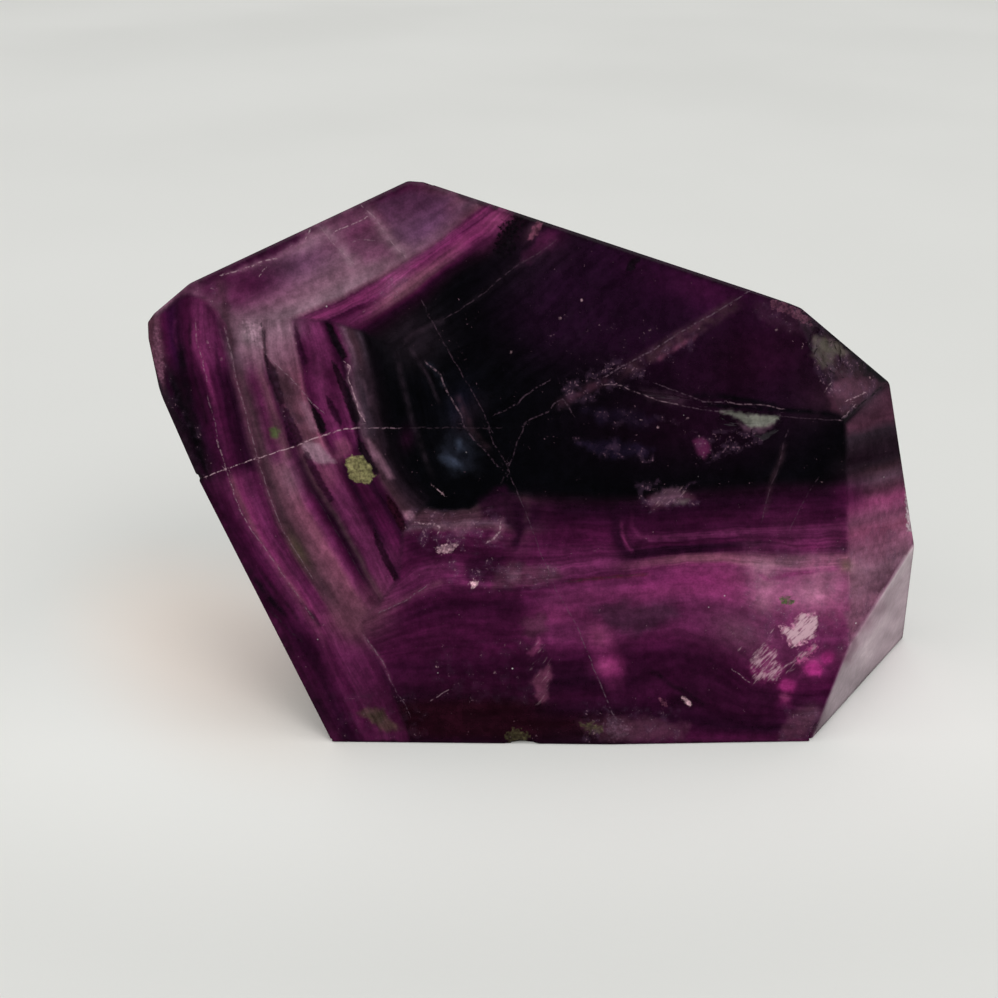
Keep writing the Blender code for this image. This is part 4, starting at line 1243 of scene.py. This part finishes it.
def paint_mesh(mesh):
    """Draws the stone's zoning and marks on the mesh. The far sides carry the bands alone, bent."""
    points = np.empty(len(mesh.vertices) * 3)
    mesh.vertices.foreach_get("co", points)
    points = points.reshape(-1, 3)
    seen = smooth_step(facing_of(mesh, points), *TURNED_AWAY)
    drift = [rough_noise(points * HIDDEN_DRIFT_SCALE, 3, seed) for seed in (101, 111)]
    chart = to_chart(points) + HIDDEN_DRIFT * np.stack(drift, 1) * (1.0 - seen)[:, None]
    colour, flow = paint(chart, seen)
    store(mesh, "growth", "FLOAT_COLOR", to_paint(colour))
    shard, ink = shards(chart)
    shard[:, 1] *= seen
    store(mesh, "shard", "FLOAT_VECTOR", shard)
    store(mesh, "shard_ink", "FLOAT_COLOR", to_paint(ink))
    store(mesh, "flow", "FLOAT_VECTOR", np.column_stack([flow, seen]))
    store(mesh, "sheet", "FLOAT_VECTOR", np.column_stack([chart, np.zeros(len(chart))]))
    hair = hairlines(chart)
    hair[:, 1] *= seen
    store(mesh, "hair", "FLOAT_VECTOR", hair)
    dust = dust_cover(chart) * seen + DUST_EVERYWHERE * (1.0 - seen)
    # Calm lies on the pale foot facet, whose painted reflection of the floor gets fewer streaks and less
    # grain.
    calm = FOOT_CALM * patch(chart, RIGHT_FOOT, SOLE_RIM) * seen
    store(mesh, "flaw", "FLOAT_VECTOR", np.column_stack([dust, fibre_cover(chart) * seen, calm]))


# ---- materials ----
def add(tree, kind, inputs, **settings):
    """Adds a node. Each input is a value, or the socket that feeds it."""
    made = tree.nodes.new("ShaderNode" + kind)
    for name, value in settings.items():
        setattr(made, name, value)
    for key, value in inputs.items():
        if isinstance(value, bpy.types.NodeSocket):
            tree.links.new(value, made.inputs[key])
        else:
            made.inputs[key].default_value = value
    return made


def maths(tree, operation, first, second=0.0):
    return add(tree, "Math", {0: first, 1: second}, operation=operation).outputs[0]


def product(tree, *values):
    result = values[0]
    for value in values[1:]:
        result = maths(tree, "MULTIPLY", result, value)
    return result


def total(tree, *values):
    result = values[0]
    for value in values[1:]:
        result = maths(tree, "ADD", result, value)
    return result


def spread(tree, value, low, high, first=0.0, last=1.0):
    """A smooth change from the first number to the last as the value goes from low to high."""
    inputs = {"Value": value, "From Min": low, "From Max": high, "To Min": first, "To Max": last}
    return add(tree, "MapRange", inputs, interpolation_type="SMOOTHSTEP").outputs["Result"]


def noise_at(tree, place, scale, detail, seed):
    """Fine noise, stretched by a scale for each axis."""
    moved = add(tree, "Mapping", {"Vector": place, "Location": (seed,) * 3, "Scale": scale})
    made = add(tree, "TexNoise", {"Vector": moved.outputs[0], "Scale": 1.0, "Detail": detail})
    return made.outputs["Fac"]


def texture(tree, place, name):
    """A named noise, spread over its range."""
    scale, detail, seed, span = TEXTURES[name]
    return spread(tree, noise_at(tree, place, scale, detail, seed), *span)


def lay(tree, below, above, amount):
    """Mixes one colour over another. The mixer's colour sockets are its seventh and eighth."""
    return add(tree, "Mix", {0: amount, 6: below, 7: above}, data_type="RGBA").outputs[2]


def painted(tree, name):
    """What the mesh carries under a name, as a vector."""
    return add(tree, "Attribute", {}, attribute_name=name).outputs["Vector"]


def painted_colour(tree, name):
    return add(tree, "Attribute", {}, attribute_name=name).outputs["Color"]


def scaled(tree, colour, amount):
    return add(tree, "VectorMath", {0: colour, "Scale": amount}, operation="SCALE").outputs[0]


def split(tree, vector):
    return add(tree, "SeparateXYZ", {"Vector": vector}).outputs


def shard_cover(tree, sheet):
    """Cover of the shards, with ragged rims, worn in places."""
    depth, strength, rag = split(tree, painted(tree, "shard"))
    depth = total(tree, depth, product(tree, texture(tree, sheet, "shard_rim"), rag))
    pits = product(tree, texture(tree, sheet, "shard_pits"), spread(tree, rag, *RAG_PITS))
    worn = maths(tree, "SUBTRACT", 1.0, pits)
    return product(tree, spread(tree, depth, *SHARD_RIM), strength, worn)


def banded_colour(tree, place, flow, shard, calm):
    """The bands and shards, with streaks, mottling and a fine grain, less where it is calm."""
    ink = scaled(tree, painted_colour(tree, "shard_ink"), texture(tree, place, "ink_pits"))
    colour = lay(tree, painted_colour(tree, "growth"), ink, shard)
    streaked = product(tree, texture(tree, flow, "fine_streaks"), texture(tree, flow, "broad_streaks"))
    grained = product(tree, texture(tree, place, "mottle"), texture(tree, place, "grain"))
    amount = add(tree, "Mix", {0: calm, 2: product(tree, streaked, grained), 3: 1.0}).outputs[0]
    return scaled(tree, colour, amount)


def hair_cover(tree, sheet):
    """Cover and tone of the hairlines, worn through in places."""
    gap, strength, tone = split(tree, painted(tree, "hair"))
    line = spread(tree, maths(tree, "ABSOLUTE", gap), *HAIR_RIM)
    return product(tree, line, strength, texture(tree, sheet, "hair_gaps")), tone


def hair_colour(tree, tone):
    """The colour of a hairline, from black through grey to pale."""
    made = add(tree, "ValToRGB", {"Fac": tone})
    elements = made.color_ramp.elements
    for element, colour in zip(elements, (HAIR_COLOURS[0], HAIR_COLOURS[-1])):
        element.color = colour
    elements.new(0.5).color = HAIR_COLOURS[1]
    return made.outputs["Color"]


def dust_masks(tree, place, dust):
    """Small pale specks, and the haze that they lie in, where the dust is thick."""
    clumps = noise_at(tree, place, *DUST_CLUMPS)
    haze = product(tree, spread(tree, clumps, 0.46, 0.7), spread(tree, dust, 0.2, 1.0))
    height = total(tree, noise_at(tree, place, *DUST_SPECKS), product(tree, clumps, 0.6))
    level = maths(tree, "SUBTRACT", DUST_LEVEL, product(tree, dust, DUST_DROP))
    return spread(tree, maths(tree, "SUBTRACT", height, level), 0.0, 0.1), haze


def glint_mask(tree, place):
    """A few tiny bright points."""
    cells = add(tree, "TexVoronoi", {"Vector": place, "Scale": GLINT_SCALE})
    dot = spread(tree, cells.outputs["Distance"], 0.02, 0.08, 1.0, 0.0)
    return product(tree, dot, spread(tree, split(tree, cells.outputs["Color"])[0], 0.93, 0.95))


def thread_mask(tree, sheet, fibre):
    """Bright threads that lie side by side, broken into tufts."""
    turned = add(tree, "Mapping", {"Vector": sheet, "Rotation": (0.0, 0.0, THREAD_TURN)}).outputs[0]
    tufts = product(tree, noise_at(tree, turned, *THREAD_TUFTS), 0.7)
    height = total(tree, noise_at(tree, turned, *THREAD_LINES), tufts, product(tree, fibre, 0.4))
    return spread(tree, height, 1.0, 1.3)


def flawed_colour(tree, colour, haze, specks, threaded):
    """Lays the dust and the threads over a colour."""
    colour = lay(tree, colour, HAZE_COLOUR, product(tree, haze, HAZE_STRENGTH))
    colour = lay(tree, colour, SPECK_COLOUR, product(tree, specks, SPECK_STRENGTH))
    return lay(tree, colour, THREAD_COLOUR, threaded)


def stone_roughness(tree, place, threaded, hair, specks):
    """A smeared polish, duller at the threads, hairlines and specks."""
    dull = [product(tree, mask, amount) for mask, amount in ((threaded, 0.3), (hair, 0.2), (specks, 0.15))]
    return total(tree, texture(tree, place, "smear"), *dull)


def stone_bump(tree, place, threaded, hair):
    """A faint waviness, with the hairlines sunk and the threads raised."""
    sunk = product(tree, hair, -0.6)
    raised = product(tree, threaded, 0.5)
    height = total(tree, noise_at(tree, place, *WAVES), sunk, raised)
    return add(tree, "Bump", {"Strength": 0.35, "Distance": 0.00004, "Height": height}).outputs["Normal"]


def stone_material():
    material = bpy.data.materials.new("polished_fluorite")
    material.use_nodes = True
    tree = material.node_tree
    place = add(tree, "TexCoord", {}).outputs["Object"]
    sheet = painted(tree, "sheet")
    dust, fibre, calm = split(tree, painted(tree, "flaw"))
    colour = banded_colour(tree, place, painted(tree, "flow"), shard_cover(tree, sheet), calm)
    specks, haze = dust_masks(tree, place, dust)
    threaded = product(tree, fibre, thread_mask(tree, sheet, fibre))
    colour = flawed_colour(tree, colour, haze, specks, threaded)
    hair, tone = hair_cover(tree, sheet)
    colour = lay(tree, colour, hair_colour(tree, tone), hair)
    colour = lay(tree, colour, GLINT_COLOUR, product(tree, glint_mask(tree, place), total(tree, dust, 0.3)))
    shader = tree.nodes["Principled BSDF"]
    tree.links.new(colour, shader.inputs["Base Color"])
    tree.links.new(stone_roughness(tree, place, threaded, hair, specks), shader.inputs["Roughness"])
    tree.links.new(stone_bump(tree, place, threaded, hair), shader.inputs["Normal"])
    shader.inputs["IOR"].default_value = FLUORITE_IOR
    shader.inputs["Specular IOR Level"].default_value = 0.4
    return material


def distance(tree, place, centre, turn, reach):
    """Distance from a centre, as parts of the reach along each axis."""
    inputs = {"Vector": place, "Location": centre, "Rotation": (0.0, 0.0, turn), "Scale": reach}
    around = add(tree, "Mapping", inputs, vector_type="TEXTURE").outputs[0]
    return add(tree, "VectorMath", {0: around}, operation="LENGTH").outputs["Value"]


def floor_material():
    material = bpy.data.materials.new("pale_floor")
    material.use_nodes = True
    tree = material.node_tree
    place = add(tree, "TexCoord", {}).outputs["Object"]
    mottle = noise_at(tree, place, *FLOOR_MOTTLE)
    colour = lay(tree, *FLOOR_SHADES, mottle)
    # Painted light: the floor is lighter near the stone, where the stone's shade would fall.
    away = distance(tree, place, LIGHT_POOL_PLACE, 0.0, LIGHT_POOL_REACH)
    colour = lay(tree, colour, LIGHT_POOL_COLOUR, spread(tree, away, *LIGHT_POOL_FADE))
    # Painted light: a warm tint in the stone's shadow at its left, for light coming through the stone.
    away = distance(tree, place, SHADOW_TINT_PLACE, SHADOW_TINT_TURN, SHADOW_TINT_REACH)
    colour = lay(tree, colour, SHADOW_TINT_COLOUR, spread(tree, away, *SHADOW_TINT_FADE))
    grain = noise_at(tree, place, *FLOOR_GRAIN)
    bump = add(tree, "Bump", {"Strength": 0.1, "Distance": 0.0002, "Height": grain})
    shader = tree.nodes["Principled BSDF"]
    tree.links.new(colour, shader.inputs["Base Color"])
    tree.links.new(bump.outputs["Normal"], shader.inputs["Normal"])
    tree.links.new(spread(tree, mottle, 0.3, 0.7, 0.6, 0.8), shader.inputs["Roughness"])
    shader.inputs["Specular IOR Level"].default_value = 0.1
    return material


# ---- the scene ----
def build_stone():
    mesh = fine_mesh()
    paint_mesh(mesh)
    mesh.shade_smooth()
    mesh.set_sharp_from_angle(angle=SHARP_ANGLE)
    mesh.materials.append(stone_material())
    stone = bpy.data.objects.new("fluorite_skin", mesh)
    bpy.context.scene.collection.objects.link(stone)
    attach(stone, "root")
    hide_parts(NODE)


def build_floor():
    mesh = bpy.data.meshes.new("floor")
    half = FLOOR_SIZE / 2
    corners = [(-half, -half, 0), (half, -half, 0), (half, half, 0), (-half, half, 0)]
    mesh.from_pydata(corners, [], [(0, 1, 2, 3)])
    mesh.materials.append(floor_material())
    floor = bpy.data.objects.new("floor", mesh)
    bpy.context.scene.collection.objects.link(floor)
    floor.visible_glossy = False


def build_world():
    """Even light for what is dull, and a room that is dark behind the camera for the polish to mirror."""
    world = bpy.data.worlds.new("studio")
    bpy.context.scene.world = world
    world.use_nodes = True
    tree = world.node_tree
    even = tree.nodes["Background"]
    even.inputs["Color"].default_value = WORLD_COLOUR
    even.inputs["Strength"].default_value = WORLD_LIGHT
    x, y, z = split(tree, add(tree, "TexCoord", {}).outputs["Generated"])
    ceiling = spread(tree, z, *CEILING)
    windows = spread(tree, maths(tree, "ABSOLUTE", x), *WINDOWS)
    windows = product(tree, windows, spread(tree, z, *WINDOW_RISE))
    shade = total(tree, ceiling, windows, ROOM_LIGHT)
    mirrored = add(tree, "Background", {"Strength": shade})
    glossy = add(tree, "LightPath", {}).outputs["Is Glossy Ray"]
    choose = add(tree, "MixShader", {0: glossy, 1: even.outputs[0], 2: mirrored.outputs[0]})
    tree.links.new(choose.outputs[0], tree.nodes["World Output"].inputs["Surface"])


def add_lamp():
    """A soft key light, which the polish doesn't mirror."""
    data = bpy.data.lights.new("key", "AREA")
    data.shape = "DISK"
    data.size = KEY_SIZE
    data.energy = KEY_POWER
    lamp = bpy.data.objects.new("key", data)
    lamp.location = KEY_PLACE
    lamp.rotation_euler = (-Vector(KEY_PLACE)).to_track_quat("-Z", "Y").to_euler()
    lamp.visible_glossy = False
    bpy.context.scene.collection.objects.link(lamp)


def add_camera():
    data = bpy.data.cameras.new("camera")
    data.lens = LENS
    data.sensor_width = SENSOR
    camera = bpy.data.objects.new("camera", data)
    camera.location = EYE
    camera.rotation_euler = (math.radians(90.0 - VIEW_DOWN), 0.0, 0.0)
    bpy.context.scene.collection.objects.link(camera)
    bpy.context.scene.camera = camera


build_floor()
build_stone()
build_world()
add_lamp()
add_camera()
bpy.context.scene.view_settings.view_transform = "Standard"
bpy.context.scene.cycles.max_bounces = LIGHT_BOUNCES
